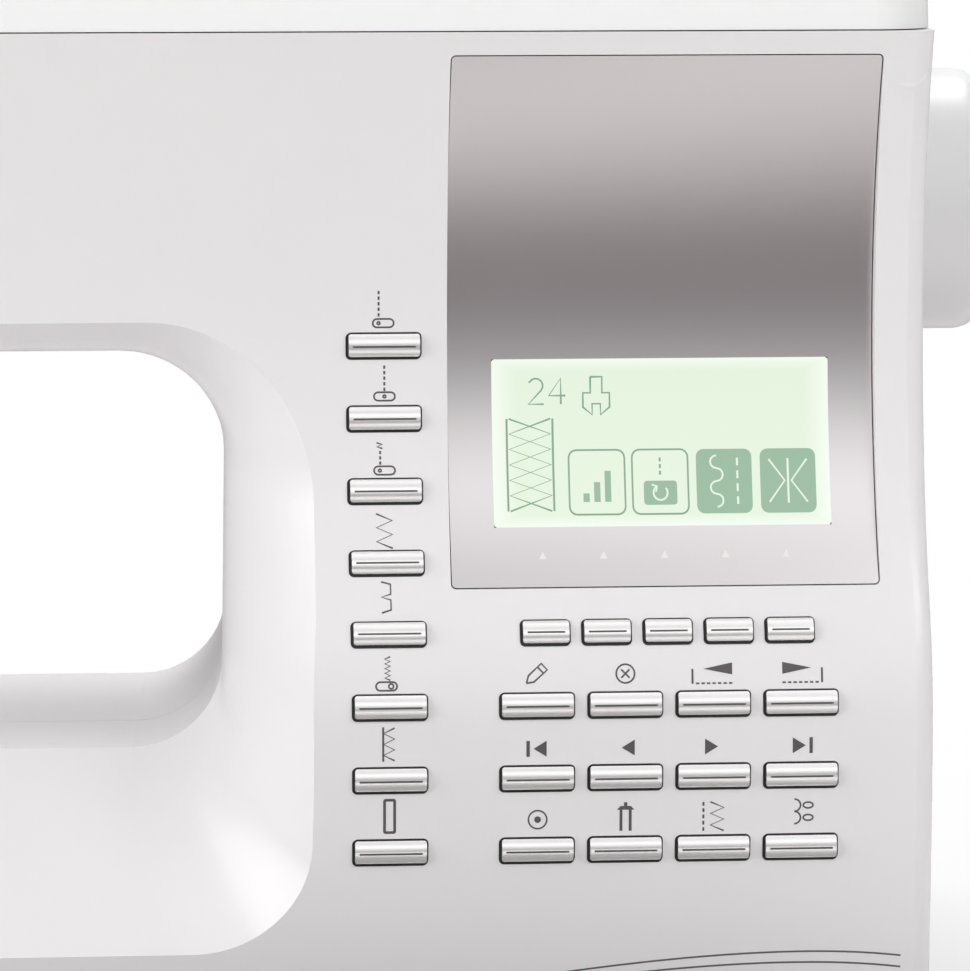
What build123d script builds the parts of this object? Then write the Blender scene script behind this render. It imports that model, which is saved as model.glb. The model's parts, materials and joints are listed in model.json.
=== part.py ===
from build123d import *
import math
import os

os.makedirs("parts", exist_ok=True)

# A computerised household sewing machine. +X is the wheel end, -Y the side that
# the user faces, +Z up. The origin is under the middle of the whole machine, on the table.

# ---------------------------------------------------------------- driving dimensions, mm
overall_width = 421.0
overall_depth = 181.5
wheel_reach = 25.0            # from the side of the pillar to the end of the handwheel
table_reach = 4.0             # extension table beyond the head, at the other end
foot_height = 4.0
bed_height = 72.0             # top of the bed and of the needle plate
deck_height = 247.0           # top of the covers, under the lid
lid_height = 46.0
wall = 2.5

pillar_width = 160.5
block_width = 70.0            # bed block to the left of the pillar, that carries the free arm
head_width = 88.0
head_clearance = 60.0         # from the bed to the underside of the head
arm_clearance = 97.0          # from the bed to the underside of the arm
free_arm_reach = 50.0         # free arm beyond the needle
free_arm_front = -40.7
free_arm_back = 45.0
free_arm_bottom = 26.0

belly_height = 80.0           # where the front stands furthest forward
belly_radius = 75.0
skirt_radius = 600.0
waist_height = 178.0          # where the front is hollowed most
waist_depth = 20.0
front_edge_radius = 4.5
rear_edge_radius = 6.0
harp_radius = 22.0
seam_gap = 0.3
cap_rise = 1.5                # push buttons beyond the front of the cover

fit = 0.3                     # clearance between covers, and round fixed pieces
running_fit = 0.05            # radial clearance of shafts, bars and pins in their bores
press_clearance = 0.02        # round pulleys and gears on their shafts

shaft_y = 2.0
shaft_height = 201.5
shaft_radius = 6.0
lower_shaft_y = 8.0
lower_shaft_height = 44.0
lower_shaft_radius = 5.0
needle_inset = 56.5           # from the left side of the head to the needle
needle_stroke = 30.0
presser_offset = 16.0         # presser bar behind the needle bar
presser_lift = 6.0
needle_bar_radius = 3.5
presser_bar_radius = 4.0

# ---------------------------------------------------------------- derived places
right = overall_width / 2 - wheel_reach
table_left = -overall_width / 2
head_left = table_left + table_reach
front = -overall_depth / 2 + cap_rise
back = overall_depth / 2
skirt = foot_height
harp_right = right - pillar_width
block_left = harp_right - block_width
head_right = head_left + head_width
head_bottom = bed_height + head_clearance
arm_bottom = bed_height + arm_clearance
seam_front = shaft_y - seam_gap / 2
seam_back = shaft_y + seam_gap / 2
needle_x = head_left + needle_inset
free_arm_left = needle_x - free_arm_reach
needle_y = shaft_y
presser_y = needle_y + presser_offset
waist_radius = (waist_depth**2 + (waist_height - belly_height) ** 2) / (2 * waist_depth) - belly_radius
belly_share = (waist_height - belly_height) / (belly_radius + waist_radius)


def at_y(y):
    """An upright plane across the machine at y; extruding it goes towards the user."""
    return Plane.XZ.offset(-y)


def at_x(x):
    """An upright plane along Y and Z at x; extruding it goes to the wheel end."""
    return Plane.YZ.offset(x)


def block(x, y, z, mode=Mode.ADD):
    """A box between its limits, joined to or cut from the part that is being made."""
    with Locations(((x[0] + x[1]) / 2, (y[0] + y[1]) / 2, (z[0] + z[1]) / 2)):
        Box(x[1] - x[0], y[1] - y[0], z[1] - z[0], mode=mode)


def rod_x(x, y, z, radius, mode=Mode.ADD):
    """A round bar along X between the limits x."""
    with Locations(((x[0] + x[1]) / 2, y, z)):
        Cylinder(radius, x[1] - x[0], rotation=(0, 90, 0), mode=mode)


def rod_y(x, y, z, radius, mode=Mode.ADD):
    """A round bar along Y between the limits y."""
    with Locations((x, (y[0] + y[1]) / 2, z)):
        Cylinder(radius, y[1] - y[0], rotation=(90, 0, 0), mode=mode)


def rod_z(x, y, z, radius, mode=Mode.ADD):
    """A round bar along Z between the limits z."""
    with Locations((x, y, (z[0] + z[1]) / 2)):
        Cylinder(radius, z[1] - z[0], mode=mode)


def write(piece, label):
    piece.label = label
    export_step(piece, f"parts/{label}.step")


# ---------------------------------------------------------------- the S-shaped front
def blend_height(inset=0.0):
    """Height at which the belly curve runs into the waist curve."""
    return belly_height + (belly_radius - inset) * belly_share


def front_y(z, inset=0.0):
    """Y of the front surface at height z, or of the surface that lies inset behind it."""
    if z < belly_height:
        return front + skirt_radius - math.sqrt((skirt_radius - inset) ** 2 - (z - belly_height) ** 2)
    if z < blend_height(inset):
        return front + belly_radius - math.sqrt((belly_radius - inset) ** 2 - (z - belly_height) ** 2)
    waist_centre = front + waist_depth - waist_radius
    return waist_centre + math.sqrt((waist_radius + inset) ** 2 - (z - waist_height) ** 2)


def front_tilt(z):
    """Angle in radians by which the front surface faces upwards at height z."""
    if z < belly_height:
        return math.asin((z - belly_height) / skirt_radius)
    if z < blend_height():
        return math.asin((z - belly_height) / belly_radius)
    return math.asin((waist_height - z) / waist_radius)


def front_plane(x, z):
    """A plane that touches the front surface, facing the user."""
    tilt = front_tilt(z)
    return Plane(
        origin=(x, front_y(z), z), x_dir=(1, 0, 0), z_dir=(0, -math.cos(tilt), math.sin(tilt))
    )


def climb(z, distance):
    """Height reached by going a distance up the front surface from height z."""
    steps = 60
    for _ in range(steps):
        z += distance / steps * math.cos(front_tilt(z))
    return z


def behind_front(inset):
    """All the space behind the front surface, cut off at the seam between the covers."""
    low = skirt - 1
    high = deck_height + 1
    blend = blend_height(inset)
    with BuildPart() as space:
        with BuildSketch(at_x(head_left - 10)):
            with BuildLine():
                for start, end in ((low, belly_height), (belly_height, blend), (blend, high)):
                    heights = (start, (start + end) / 2, end)
                    ThreePointArc(*[(front_y(height, inset), height) for height in heights])
                Polyline(
                    (front_y(high, inset), high), (seam_front, high), (seam_front, low),
                    (front_y(low, inset), low),
                )
            make_face()
        extrude(amount=right - head_left + 20)
    return space.part


# ---------------------------------------------------------------- outline of both covers
throat_right = harp_right - 7.2   # the opening is narrowest here, behind its flared mouth
throat_radius = harp_radius + 2
# Round the opening the case starts 1 mm too far in, so that the opening cuts all its walls.
case_corners = [
    (right, skirt), (right, deck_height), (head_left, deck_height), (head_left, head_bottom),
    (head_right, head_bottom), (head_right, arm_bottom), (throat_right - 1, arm_bottom),
    (throat_right - 1, bed_height), (block_left, bed_height), (block_left, skirt),
]
case_radii = [6, 0, 0, 12, 9, harp_radius, throat_radius, throat_radius, 0, 0]


def case_block(y_from, y_to, inset):
    """The outline of the machine seen by the user, as a block from y_from to y_to."""
    with BuildPart() as shape:
        with BuildSketch(at_y(y_to)):
            with BuildLine():
                FilletPolyline(case_corners, radius=case_radii, close=True)
            make_face()
            if inset:
                offset(amount=-inset)
        extrude(amount=y_to - y_from)
    return shape.part


mouth_y = front - 5           # the flare of the opening is drawn from here to the throat
throat_y = free_arm_front - 0.3
mouth_low = 22.4
mouth_high = 200.8
mouth_radius_low = 28.0
mouth_radius_high = 44.0
mouth_right_low = throat_right + 23.7
mouth_right_high = throat_right + 83.0
mouth_flare_left = 10.0
knee_height = belly_height + 16   # above it the side leans out as the front falls back
knee_radius = 60.0
side_lean = 1.0
flare_steps = 4


def harp_outline(y, left, right_low, right_high, low, high, radius_low, radius_high, grow):
    """One section of the opening, grown by the wall around it. Its right side has a soft knee."""
    low_corner = radius_low + grow
    with BuildSketch(at_y(y)) as section:
        with BuildLine():
            FilletPolyline(
                [(left - grow, low - grow), (right_low + grow, low - grow),
                 (right_low + grow, knee_height), (right_high + grow, high + grow),
                 (left - grow, high + grow)],
                radius=[low_corner, low_corner, knee_radius, radius_high + grow, low_corner],
                close=True,
            )
        make_face()
    return section.sketch


def flare_section(share, grow):
    """The opening at a share of the way from the throat to the mouth. The bed slopes down in a
    straight line, while the side and the top curve away like the bell of a trumpet."""
    bell = share**2
    return harp_outline(
        throat_y + (mouth_y - throat_y) * share,
        head_right - mouth_flare_left * share,
        throat_right + (mouth_right_low - throat_right) * bell,
        throat_right + side_lean + (mouth_right_high - throat_right - side_lean) * bell,
        bed_height + (mouth_low - bed_height) * share,
        arm_bottom + (mouth_high - arm_bottom) * bell,
        harp_radius + (mouth_radius_low - harp_radius) * share,
        throat_radius + (mouth_radius_high - throat_radius) * share,
        grow,
    )


def harp_space(grow):
    """The opening under the arm, with its flared mouth towards the user."""
    outlet = harp_outline(
        back + 1, head_right, harp_right, harp_right + side_lean, bed_height, arm_bottom,
        harp_radius, throat_radius, grow,
    )
    flare = [flare_section(step / flare_steps, grow) for step in range(flare_steps + 1)]
    with BuildPart() as space:
        loft(sections=flare)
        loft(sections=[flare[0], outlet], ruled=True)
    return space.part


def free_arm_block(inset, reach):
    """The free arm as a block that reaches past the side of the bed block."""
    with BuildPart() as arm:
        with BuildSketch(Plane.XY.offset(free_arm_bottom + inset)):
            with BuildLine():
                left = free_arm_left + inset
                FilletPolyline(
                    [(block_left + reach, free_arm_front + inset), (left, free_arm_front + inset),
                     (left, free_arm_back - inset), (block_left + reach, free_arm_back - inset)],
                    radius=[0, 16 - inset, 16 - inset, 0], close=True,
                )
            make_face()
        extrude(amount=bed_height - free_arm_bottom - 2 * inset)
        lower = arm.faces().sort_by(Axis.Z)[0]
        fillet(lower.edges().filter_by(lambda edge: edge.center().X < block_left + reach - 1), 6 - inset)
    return arm.part


# ---------------------------------------------------------------- key pad on the front
panel_inset = 63.7            # from the side of the pillar to the middle of the display panel
panel_width = 102.2
panel_low = 115.2
panel_high = 241.2
panel_radius = 137.0
panel_hollow = 4.0            # how much deeper than the front the panel is hollowed
panel_corner = 1.0
panel_gap = 0.3
panel_thickness = 2.5
panel_rim = 2.0               # wall that stands behind the edge of the panel
liner = 1.5                   # wall round the window of the panel
liner_back = -60.0
liner_lip = 3.0

screen_width = 81.0
screen_low = 128.8
screen_high = 168.2

button_gap = 0.45
flange_gap = 0.35
flange_thickness = 1.2
flange_margin = 1.0
stem_radius = 1.5
button_travel = 0.8
button_width = 17.0
button_height = 5.4
soft_key_width = 11.0
row_pitch = 17.35
first_row = 53.4
column_pitch = 21.0
soft_key_pitch = 14.6
stitch_column_offset = -66.4

key_board_y = -77.0
main_board_y = -58.5
board_thickness = 1.6

panel_x = right - panel_inset
panel_left = panel_x - panel_width / 2
panel_right = panel_x + panel_width / 2
panel_middle = (panel_low + panel_high) / 2
panel_surface = front + waist_depth + panel_hollow
rows = [climb(first_row, index * row_pitch) for index in range(8)]


def button_place(kind, index):
    """X, height, cap width and the board behind one button of the key pad."""
    if kind == "stitch_button":
        row = 7 - index
        board = key_board_y if row < 4 else main_board_y
        return panel_x + stitch_column_offset, rows[row], button_width, board
    if kind == "soft_key":
        return panel_x + (index - 2) * soft_key_pitch, rows[3], soft_key_width, key_board_y
    column = index % 4
    row = 2 - index // 4
    return panel_x + (column - 1.5) * column_pitch, rows[row], button_width, key_board_y


key_pad = {}
for kind, count in (("stitch_button", 8), ("soft_key", 5), ("function_button", 12)):
    for index in range(count):
        key_pad[f"{kind}_{index + 1}"] = button_place(kind, index)

head_button_height = 148.0
head_keys = {
    "start_stop_button": (needle_x - 14, head_button_height, 12.0, main_board_y),
    "reverse_button": (needle_x - 36, head_button_height, 12.0, main_board_y),
}
slider_x = needle_x - 25
slider_height = 166.0
slider_travel = 12.0
slider_slot = 3.0
slider_knob = 9.0

all_keys = {**key_pad, **head_keys}


ridge = 0.05 * button_height  # how far the ridge of a cap lies below its middle
cap_edge = 0.5                # height of a cap's long edges beyond the front of the cover
groove_width = 0.35
groove_depth = 0.4
cap_corner = 0.6


def cap_profile(x, face, depth):
    """A bar along X under a blunt ridge with two crowned slopes, cut to a cap later."""
    half = button_height / 2
    with BuildPart() as profile:
        with BuildSketch(Plane(origin=face.origin, x_dir=face.y_dir, z_dir=face.x_dir)):
            with BuildLine():
                Polyline((-half, cap_edge), (-half, -depth), (half, -depth), (half, cap_edge))
                ThreePointArc((half, cap_edge), (0.55 * half, 0.82 * cap_rise), (-ridge, cap_rise))
                ThreePointArc((-ridge, cap_rise), (-0.62 * half, 0.82 * cap_rise), (-half, cap_edge))
            make_face()
        extrude(amount=button_width, both=True)
    return profile.part


def press_button(x, z, width, board_y):
    """A bar-shaped cap in its hole, a flange behind the wall and a stem to its switch."""
    face = front_plane(x, z)
    tilt = front_tilt(z)
    flange_front = wall + flange_gap
    to_board = (board_y - front_y(z)) / math.cos(tilt)
    stem_end = to_board - button_travel - 0.15 - stem_radius * abs(math.tan(tilt))
    with BuildPart() as button:
        with BuildSketch(face.offset(-flange_front)):
            RectangleRounded(width, button_height, cap_corner)
        extrude(amount=flange_front + cap_rise + 1)
        add(cap_profile(x, face, flange_front + 1), mode=Mode.INTERSECT)
        with BuildSketch(face.offset(cap_rise - groove_depth)):
            with Locations((0, -ridge)):
                Rectangle(width - 2.0, groove_width)
        extrude(amount=2 * groove_depth, mode=Mode.SUBTRACT)
        with BuildSketch(face.offset(-flange_front)):
            RectangleRounded(width + 2 * flange_margin, button_height + 2 * flange_margin, 1.2)
        extrude(amount=-flange_thickness)
        with BuildSketch(face.offset(-stem_end)):
            Circle(stem_radius)
        extrude(amount=stem_end - flange_front)
    return button.part


for label, place in all_keys.items():
    write(press_button(*place), label)


def panel_prism(y_from, y_to, grow):
    """The rounded outline of the display panel, grown all round, as a block along Y."""
    with BuildPart() as prism:
        with BuildSketch(at_y(y_to)):
            with Locations((panel_x, panel_middle)):
                RectangleRounded(
                    panel_width + 2 * grow, panel_high - panel_low + 2 * grow,
                    max(panel_corner + grow, 0.5),
                )
        extrude(amount=y_to - y_from)
    return prism.part


panel_centre_y = panel_surface - panel_radius


def panel_curve(z):
    """Y of the hollow face of the display panel at height z."""
    return panel_centre_y + math.sqrt(panel_radius**2 - (z - panel_middle) ** 2)


def panel_cylinder(radius):
    with BuildPart() as cylinder:
        rod_x((panel_left - 5, panel_right + 5), panel_centre_y, panel_middle, radius)
    return cylinder.part


# ---------------------------------------------------------------- display panel
panel_back = liner_back - 1.5 - 0.2
with BuildPart() as panel_pocket:
    add(panel_prism(front, 0, -panel_rim))
    add(panel_cylinder(panel_radius + panel_thickness), mode=Mode.SUBTRACT)
with BuildPart() as display_panel:
    add(panel_prism(front, panel_back, 0))
    add(panel_cylinder(panel_radius), mode=Mode.SUBTRACT)
    add(panel_pocket.part, mode=Mode.SUBTRACT)
    block(
        (panel_x - screen_width / 2, panel_x + screen_width / 2), (front, 0), (screen_low, screen_high),
        mode=Mode.SUBTRACT,
    )
write(display_panel.part, "display_panel")

# ---------------------------------------------------------------- display module and boards
screen_recess = 2.2
glass_thickness = 2.0
main_board_left = panel_x - 74
main_board_right = right - wall - 1
main_board_low = (rows[3] + rows[4]) / 2 - 3
main_board_high = deck_height - 15
key_board_low = first_row - 11
key_board_high = 110.0
key_board_left = panel_x + stitch_column_offset - 10
key_board_right = panel_x + 49
head_board_left = needle_x - 42
head_board_right = needle_x - 4
head_board_low = head_button_height - 10
head_board_high = slider_height + 10

screen_slope = (panel_curve(screen_high) - panel_curve(screen_low)) / (screen_high - screen_low)
screen_across = math.sqrt(1 + screen_slope**2)


def screen_y(z, depth):
    """Y of a plane that lies depth behind the chord across the screen opening."""
    return panel_curve(screen_low) + screen_slope * (z - screen_low) + depth * screen_across


def screen_slab(width, low, high, depth_from, y_back):
    """A slab parallel to the screen; its back is upright at y_back, or parallel too."""
    with BuildPart() as slab:
        with BuildSketch(at_x(panel_x - width / 2)):
            with BuildLine():
                backs = [y_back, y_back] if y_back is not None else [
                    screen_y(high, depth_from + glass_thickness),
                    screen_y(low, depth_from + glass_thickness),
                ]
                Polyline(
                    (screen_y(low, depth_from), low), (screen_y(high, depth_from), high),
                    (backs[0], high), (backs[1], low), close=True,
                )
            make_face()
        extrude(amount=width)
    return slab.part


with BuildPart() as display_module:
    block(
        (main_board_left, main_board_right), (main_board_y, main_board_y + board_thickness),
        (main_board_low, main_board_high),
    )
    block(
        (key_board_left, key_board_right), (key_board_y, key_board_y + board_thickness),
        (key_board_low, key_board_high),
    )
    block(
        (head_board_left, head_board_right), (main_board_y, main_board_y + board_thickness),
        (head_board_low, head_board_high),
    )
glass = screen_slab(
    screen_width - 2 * panel_gap, screen_low + panel_gap, screen_high - panel_gap, screen_recess, None
)
carrier = screen_slab(
    screen_width + 5, screen_low - 2, screen_high + 2, screen_recess + glass_thickness + 0.02,
    main_board_y - 0.02,
)
write(Compound(children=[*display_module.part.solids(), carrier, glass]), "display_module")

# ---------------------------------------------------------------- front cover
boss_inset = 6.0              # from a side wall to the screws that stand beside it
screw_places = [
    (head_left + boss_inset, deck_height - 9), (head_left + boss_inset, head_bottom + 11),
    (harp_right - 80, deck_height - 7.5), (right - boss_inset, deck_height - 9),
    (right - boss_inset, skirt + 10), (block_left + boss_inset, skirt + 10),
]
boss_radius = 4.5
screw_radius = 1.9
needle_opening_left = needle_x - 12
needle_opening_right = needle_x + 7
lever_left = needle_x + 10
lever_right = needle_x + 15
bed_window_left = needle_x - 36
bed_window_right = needle_x + 38
bed_window_front = free_arm_front + wall + 0.2
bed_window_back = free_arm_back - wall - 1.5
take_up_left = needle_x + 6.5
take_up_right = needle_x + 9.0
shaft_hole = shaft_radius + 1.0
peg_radius = 3.0
peg_places = [(-62.0, 30.0), (68.0, 30.0)]
dial_x = needle_x + 18
dial_y = -38.0
dial_height = deck_height - 3
dial_radius = 14.0
dial_width = 8.0
dial_axle = 3.0
winder_x = right - 36
winder_y = -44.0
winder_travel = 5.0
winder_radius = 3.0
aux_pin_x = panel_x - 40
aux_pin_y = -44.0
aux_pin_radius = 3.2
aux_pin_depth = 12.0


def beside(edge, x, reach):
    """Whether an edge of the front lies within reach of the side at x."""
    return edge.center().Y < -60 and abs(edge.center().X - x) < reach


with BuildPart() as front_outside:
    add(case_block(front - 5, seam_front, 0))
    add(behind_front(0), mode=Mode.INTERSECT)
    fillet(front_outside.edges().filter_by(lambda edge: beside(edge, right, 4)), front_edge_radius)
    fillet(front_outside.edges().filter_by(lambda edge: beside(edge, head_left, 1)), front_edge_radius)
    add(harp_space(0), mode=Mode.SUBTRACT)

with BuildPart() as front_inside:
    add(case_block(front - 5, seam_back + 5, wall))
    block((block_left + wall, right - wall), (front, seam_back + 5), (skirt - 5, skirt + 20))
    add(behind_front(wall), mode=Mode.INTERSECT)
    add(harp_space(wall), mode=Mode.SUBTRACT)

with BuildPart() as button_holes:
    for x, z, width, board_y in all_keys.values():
        with BuildSketch(front_plane(x, z).offset(5)):
            RectangleRounded(width + 2 * button_gap, button_height + 2 * button_gap, 1.2)
        extrude(amount=-(wall + 8))
    with BuildSketch(front_plane(slider_x, slider_height).offset(5)):
        RectangleRounded(2 * slider_travel + slider_knob - 3, slider_slot + 2 * fit, 1.5)
    extrude(amount=-(wall + 8))

with BuildPart() as window_liner:
    add(panel_prism(front - 5, liner_back, panel_gap + liner))
    add(behind_front(wall / 2), mode=Mode.INTERSECT)
    add(panel_prism(front - 5, liner_back - 1.5, panel_gap), mode=Mode.SUBTRACT)
    add(panel_prism(front - 5, liner_back, -liner_lip), mode=Mode.SUBTRACT)

arm_inside = free_arm_block(wall, 4)
with BuildPart() as front_arm:
    add(free_arm_block(0, 1))
    block((table_left, right), (seam_front, back), (0, deck_height), mode=Mode.SUBTRACT)
with BuildPart() as rear_arm:
    add(free_arm_block(0, 1))
    block((table_left, right), (front, seam_back), (0, deck_height), mode=Mode.SUBTRACT)

bed_window = ((bed_window_left, bed_window_right), (bed_window_front, bed_window_back))
board_posts = [
    (main_board_left + 2.5, main_board_low + 3, main_board_y),
    (main_board_left + 2.5, main_board_high - 4, main_board_y),
    (main_board_right - 3, main_board_low + 3, main_board_y),
    (main_board_right - 3, main_board_high - 4, main_board_y),
    (panel_x - 48.5, key_board_low + 3, key_board_y), (panel_x - 48.5, key_board_high - 3, key_board_y),
    (key_board_right - 3, key_board_low + 3, key_board_y),
    (key_board_right - 3, key_board_high - 3, key_board_y),
    (head_board_left + 3, head_board_low + 3, main_board_y),
    (head_board_left + 3, head_board_high - 3, main_board_y),
    (head_board_right - 3, head_board_high - 3, main_board_y),
]

with BuildPart() as front_cover:
    add(front_outside.part)
    add(front_inside.part, mode=Mode.SUBTRACT)
    add(front_arm.part)
    add(arm_inside, mode=Mode.SUBTRACT)
    block(*bed_window, (bed_height - wall - 1, bed_height + 1), mode=Mode.SUBTRACT)
    block(
        bed_window[0], (bed_window_front - 1, bed_window_front + 1.6),
        (bed_height - wall - 2.2, bed_height - wall - 0.2),
    )
    add(panel_prism(front - 5, liner_back - 3, panel_gap), mode=Mode.SUBTRACT)
    add(window_liner.part)
    add(button_holes.part, mode=Mode.SUBTRACT)
    for x, z, board in board_posts:
        rod_y(x, (front_y(z) + wall / 2, board), z, 2.4)
    for x, z in screw_places:
        rod_y(x, (front_y(z) + wall / 2, seam_front), z, boss_radius)
        rod_y(x, (seam_front - 22, seam_front + 1), z, screw_radius + 0.1, mode=Mode.SUBTRACT)
    rod_x((right - 2 * wall, right + 1), shaft_y, shaft_height, shaft_hole, mode=Mode.SUBTRACT)
    block(
        (take_up_left - 2, take_up_right + 2), (front, front_y(waist_height) + wall + 6),
        (waist_height - 30, waist_height + 52), mode=Mode.SUBTRACT,
    )
    block(
        (needle_opening_left, needle_opening_right), (needle_y - 12, seam_back),
        (head_bottom - 1, head_bottom + wall + 1), mode=Mode.SUBTRACT,
    )
    rod_x(
        (block_left - 1, block_left + wall + 1), peg_places[0][0], peg_places[0][1],
        peg_radius + fit, mode=Mode.SUBTRACT,
    )
    block(
        (dial_x - dial_width / 2 - 1, dial_x + dial_width / 2 + 1),
        (dial_y - dial_radius - 1, dial_y + dial_radius + 1),
        (deck_height - wall - 1, deck_height + 1), mode=Mode.SUBTRACT,
    )
    for side in (-1, 1):
        ear = sorted((dial_x + side * (dial_width / 2 + 0.5), dial_x + side * (dial_width / 2 + 3.5)))
        block(ear, (dial_y - 5, dial_y + 5), (dial_height - 6, deck_height - wall / 2))
        rod_x(ear, dial_y, dial_height, dial_axle + running_fit, mode=Mode.SUBTRACT)
    with BuildSketch(Plane.XY.offset(deck_height + 1)):
        with Locations((winder_x + winder_travel / 2, winder_y)):
            SlotOverall(2 * winder_radius + winder_travel + 1, 2 * winder_radius + 1)
    extrude(amount=-(wall + 2), mode=Mode.SUBTRACT)
    rod_z(aux_pin_x, aux_pin_y, (deck_height - aux_pin_depth - 1.5, deck_height), aux_pin_radius + 2)
    rod_z(
        aux_pin_x, aux_pin_y, (deck_height - aux_pin_depth, deck_height + 1), aux_pin_radius,
        mode=Mode.SUBTRACT,
    )
write(front_cover.part, "front_cover")

# ---------------------------------------------------------------- rear cover
hinge_y = back - 3
hinge_height = deck_height + 4
hinge_radius = 3.0
hinge_pin_radius = 1.5
hinge_places = [head_left + 70, right - 70]
hinge_ear_width = 9.0
lever_y = presser_y + 12
lever_height = head_bottom + 8
switch_y = 60.0
switch_height = 62.0
switch_width = 13.0
switch_tall = 19.0
switch_side = switch_width / 2 + 0.4
switch_pivot_x = right - 5
inlet_y = 60.0
inlet_height = 32.0
inlet_width = 27.0
inlet_tall = 21.0
inlet_wall = 2.5

with BuildPart() as rear_outside:
    add(case_block(seam_back, back, 0))
    add(harp_space(0), mode=Mode.SUBTRACT)
    fillet(rear_outside.faces().sort_by(Axis.Y)[-1].edges(), rear_edge_radius)

with BuildPart() as rear_inside:
    add(case_block(seam_front - 5, back - wall, wall))
    block((block_left + wall, right - wall), (seam_front - 5, back - wall), (skirt - 5, skirt + 20))
    add(harp_space(wall), mode=Mode.SUBTRACT)

with BuildPart() as rear_cover:
    add(rear_outside.part)
    add(rear_inside.part, mode=Mode.SUBTRACT)
    add(rear_arm.part)
    add(arm_inside, mode=Mode.SUBTRACT)
    block(*bed_window, (bed_height - wall - 1, bed_height + 1), mode=Mode.SUBTRACT)
    for x, z in screw_places:
        rod_y(x, (seam_back, back - wall / 2), z, boss_radius)
        rod_y(x, (seam_back - 1, back + 1), z, screw_radius + 0.2, mode=Mode.SUBTRACT)
        rod_y(x, (back - 9, back + 1), z, 2 * screw_radius + 0.3, mode=Mode.SUBTRACT)
    rod_x((right - 2 * wall, right + 1), shaft_y, shaft_height, shaft_hole, mode=Mode.SUBTRACT)
    block(
        (needle_opening_left, needle_opening_right), (seam_front, presser_y + 9),
        (head_bottom - 1, head_bottom + wall + 1), mode=Mode.SUBTRACT,
    )
    block(
        (lever_left - 1.5, lever_right + 1.5), (lever_y - 4, lever_y + 38),
        (head_bottom - 1, head_bottom + wall + 1), mode=Mode.SUBTRACT,
    )
    rod_x(
        (block_left - 1, block_left + wall + 1), peg_places[1][0], peg_places[1][1],
        peg_radius + fit, mode=Mode.SUBTRACT,
    )
    block(
        (right - 2 * wall, right + 1), (switch_y - switch_side, switch_y + switch_side),
        (switch_height - switch_tall / 2 - 1.5, switch_height + switch_tall / 2 + 1.5), mode=Mode.SUBTRACT,
    )
    for side in (-1, 1):
        cheek_y = sorted((switch_y + side * switch_side, switch_y + side * (switch_side + 2.5)))
        block((switch_pivot_x - 4, right - wall / 2), cheek_y, (switch_height - 5, switch_height + 5))
        rod_y(switch_pivot_x, cheek_y, switch_height, 1.5 + running_fit, mode=Mode.SUBTRACT)
    block(
        (right - 2 * wall, right + 1), (inlet_y - inlet_width / 2, inlet_y + inlet_width / 2),
        (inlet_height - inlet_tall / 2, inlet_height + inlet_tall / 2), mode=Mode.SUBTRACT,
    )
    with Locations(Location((right - 65, back, 95), (90, 0, 0))):
        with GridLocations(0, 7, 1, 7):
            Box(60, 2.6, 4 * wall, mode=Mode.SUBTRACT)
    for x in hinge_places:
        with BuildSketch(at_x(x - hinge_ear_width / 2)):
            with Locations((hinge_y, hinge_height)):
                Circle(hinge_radius)
            with Locations((hinge_y, (hinge_height + deck_height - wall) / 2)):
                Rectangle(2 * hinge_radius - 0.2, hinge_height - deck_height + wall)
            with Locations((hinge_y, hinge_height)):
                Circle(hinge_pin_radius + running_fit, mode=Mode.SUBTRACT)
        extrude(amount=hinge_ear_width)
write(rear_cover.part, "rear_cover")

# ---------------------------------------------------------------- screws
with BuildPart() as cover_screws:
    for x, z in screw_places:
        rod_y(x, (seam_front - 18, back - 9), z, screw_radius)
        rod_y(x, (back - 9, back - 6.5), z, 2 * screw_radius)
        with Locations((x, back - 6.5, z)):
            Box(3.4, 2.4, 0.8, mode=Mode.SUBTRACT)
            Box(0.8, 2.4, 3.4, mode=Mode.SUBTRACT)
write(cover_screws.part, "cover_screws")

# ---------------------------------------------------------------- base tray and feet
tray_thickness = 2.5
tray_top = skirt + tray_thickness
tray_front = front_y(skirt, wall) + fit
foot_radius = 9.0
foot_neck_radius = 3.5
foot_places = [
    (block_left + 14, tray_front + 13), (block_left + 14, back - 17),
    (right - 15, tray_front + 13), (right - 15, back - 17),
]
with BuildPart() as base_tray:
    tray = ((block_left + wall + fit, right - wall - fit), (tray_front, back - wall - fit))
    block(*tray, (skirt, tray_top))
    block(*tray, (tray_top, tray_top + 2))
    block(
        (tray[0][0] + 2, tray[0][1] - 2), (tray[1][0] + 2, tray[1][1] - 2), (tray_top, tray_top + 3),
        mode=Mode.SUBTRACT,
    )
    for x, y in foot_places:
        rod_z(x, y, (skirt - 1, tray_top + 1), foot_neck_radius + 0.05, mode=Mode.SUBTRACT)
write(base_tray.part, "base_tray")

with BuildPart() as rubber_feet:
    for x, y in foot_places:
        rod_z(x, y, (0, skirt), foot_radius)
        rod_z(x, y, (skirt, tray_top), foot_neck_radius)
        rod_z(x, y, (tray_top + 0.05, tray_top + 1.5), foot_neck_radius + 1.2)
        rod_z(x, y, (tray_top - 1, tray_top + 1), foot_neck_radius)
    fillet(rubber_feet.faces().group_by(Axis.Z)[0].edges(), 1)
write(rubber_feet.part, "rubber_feet")

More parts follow.
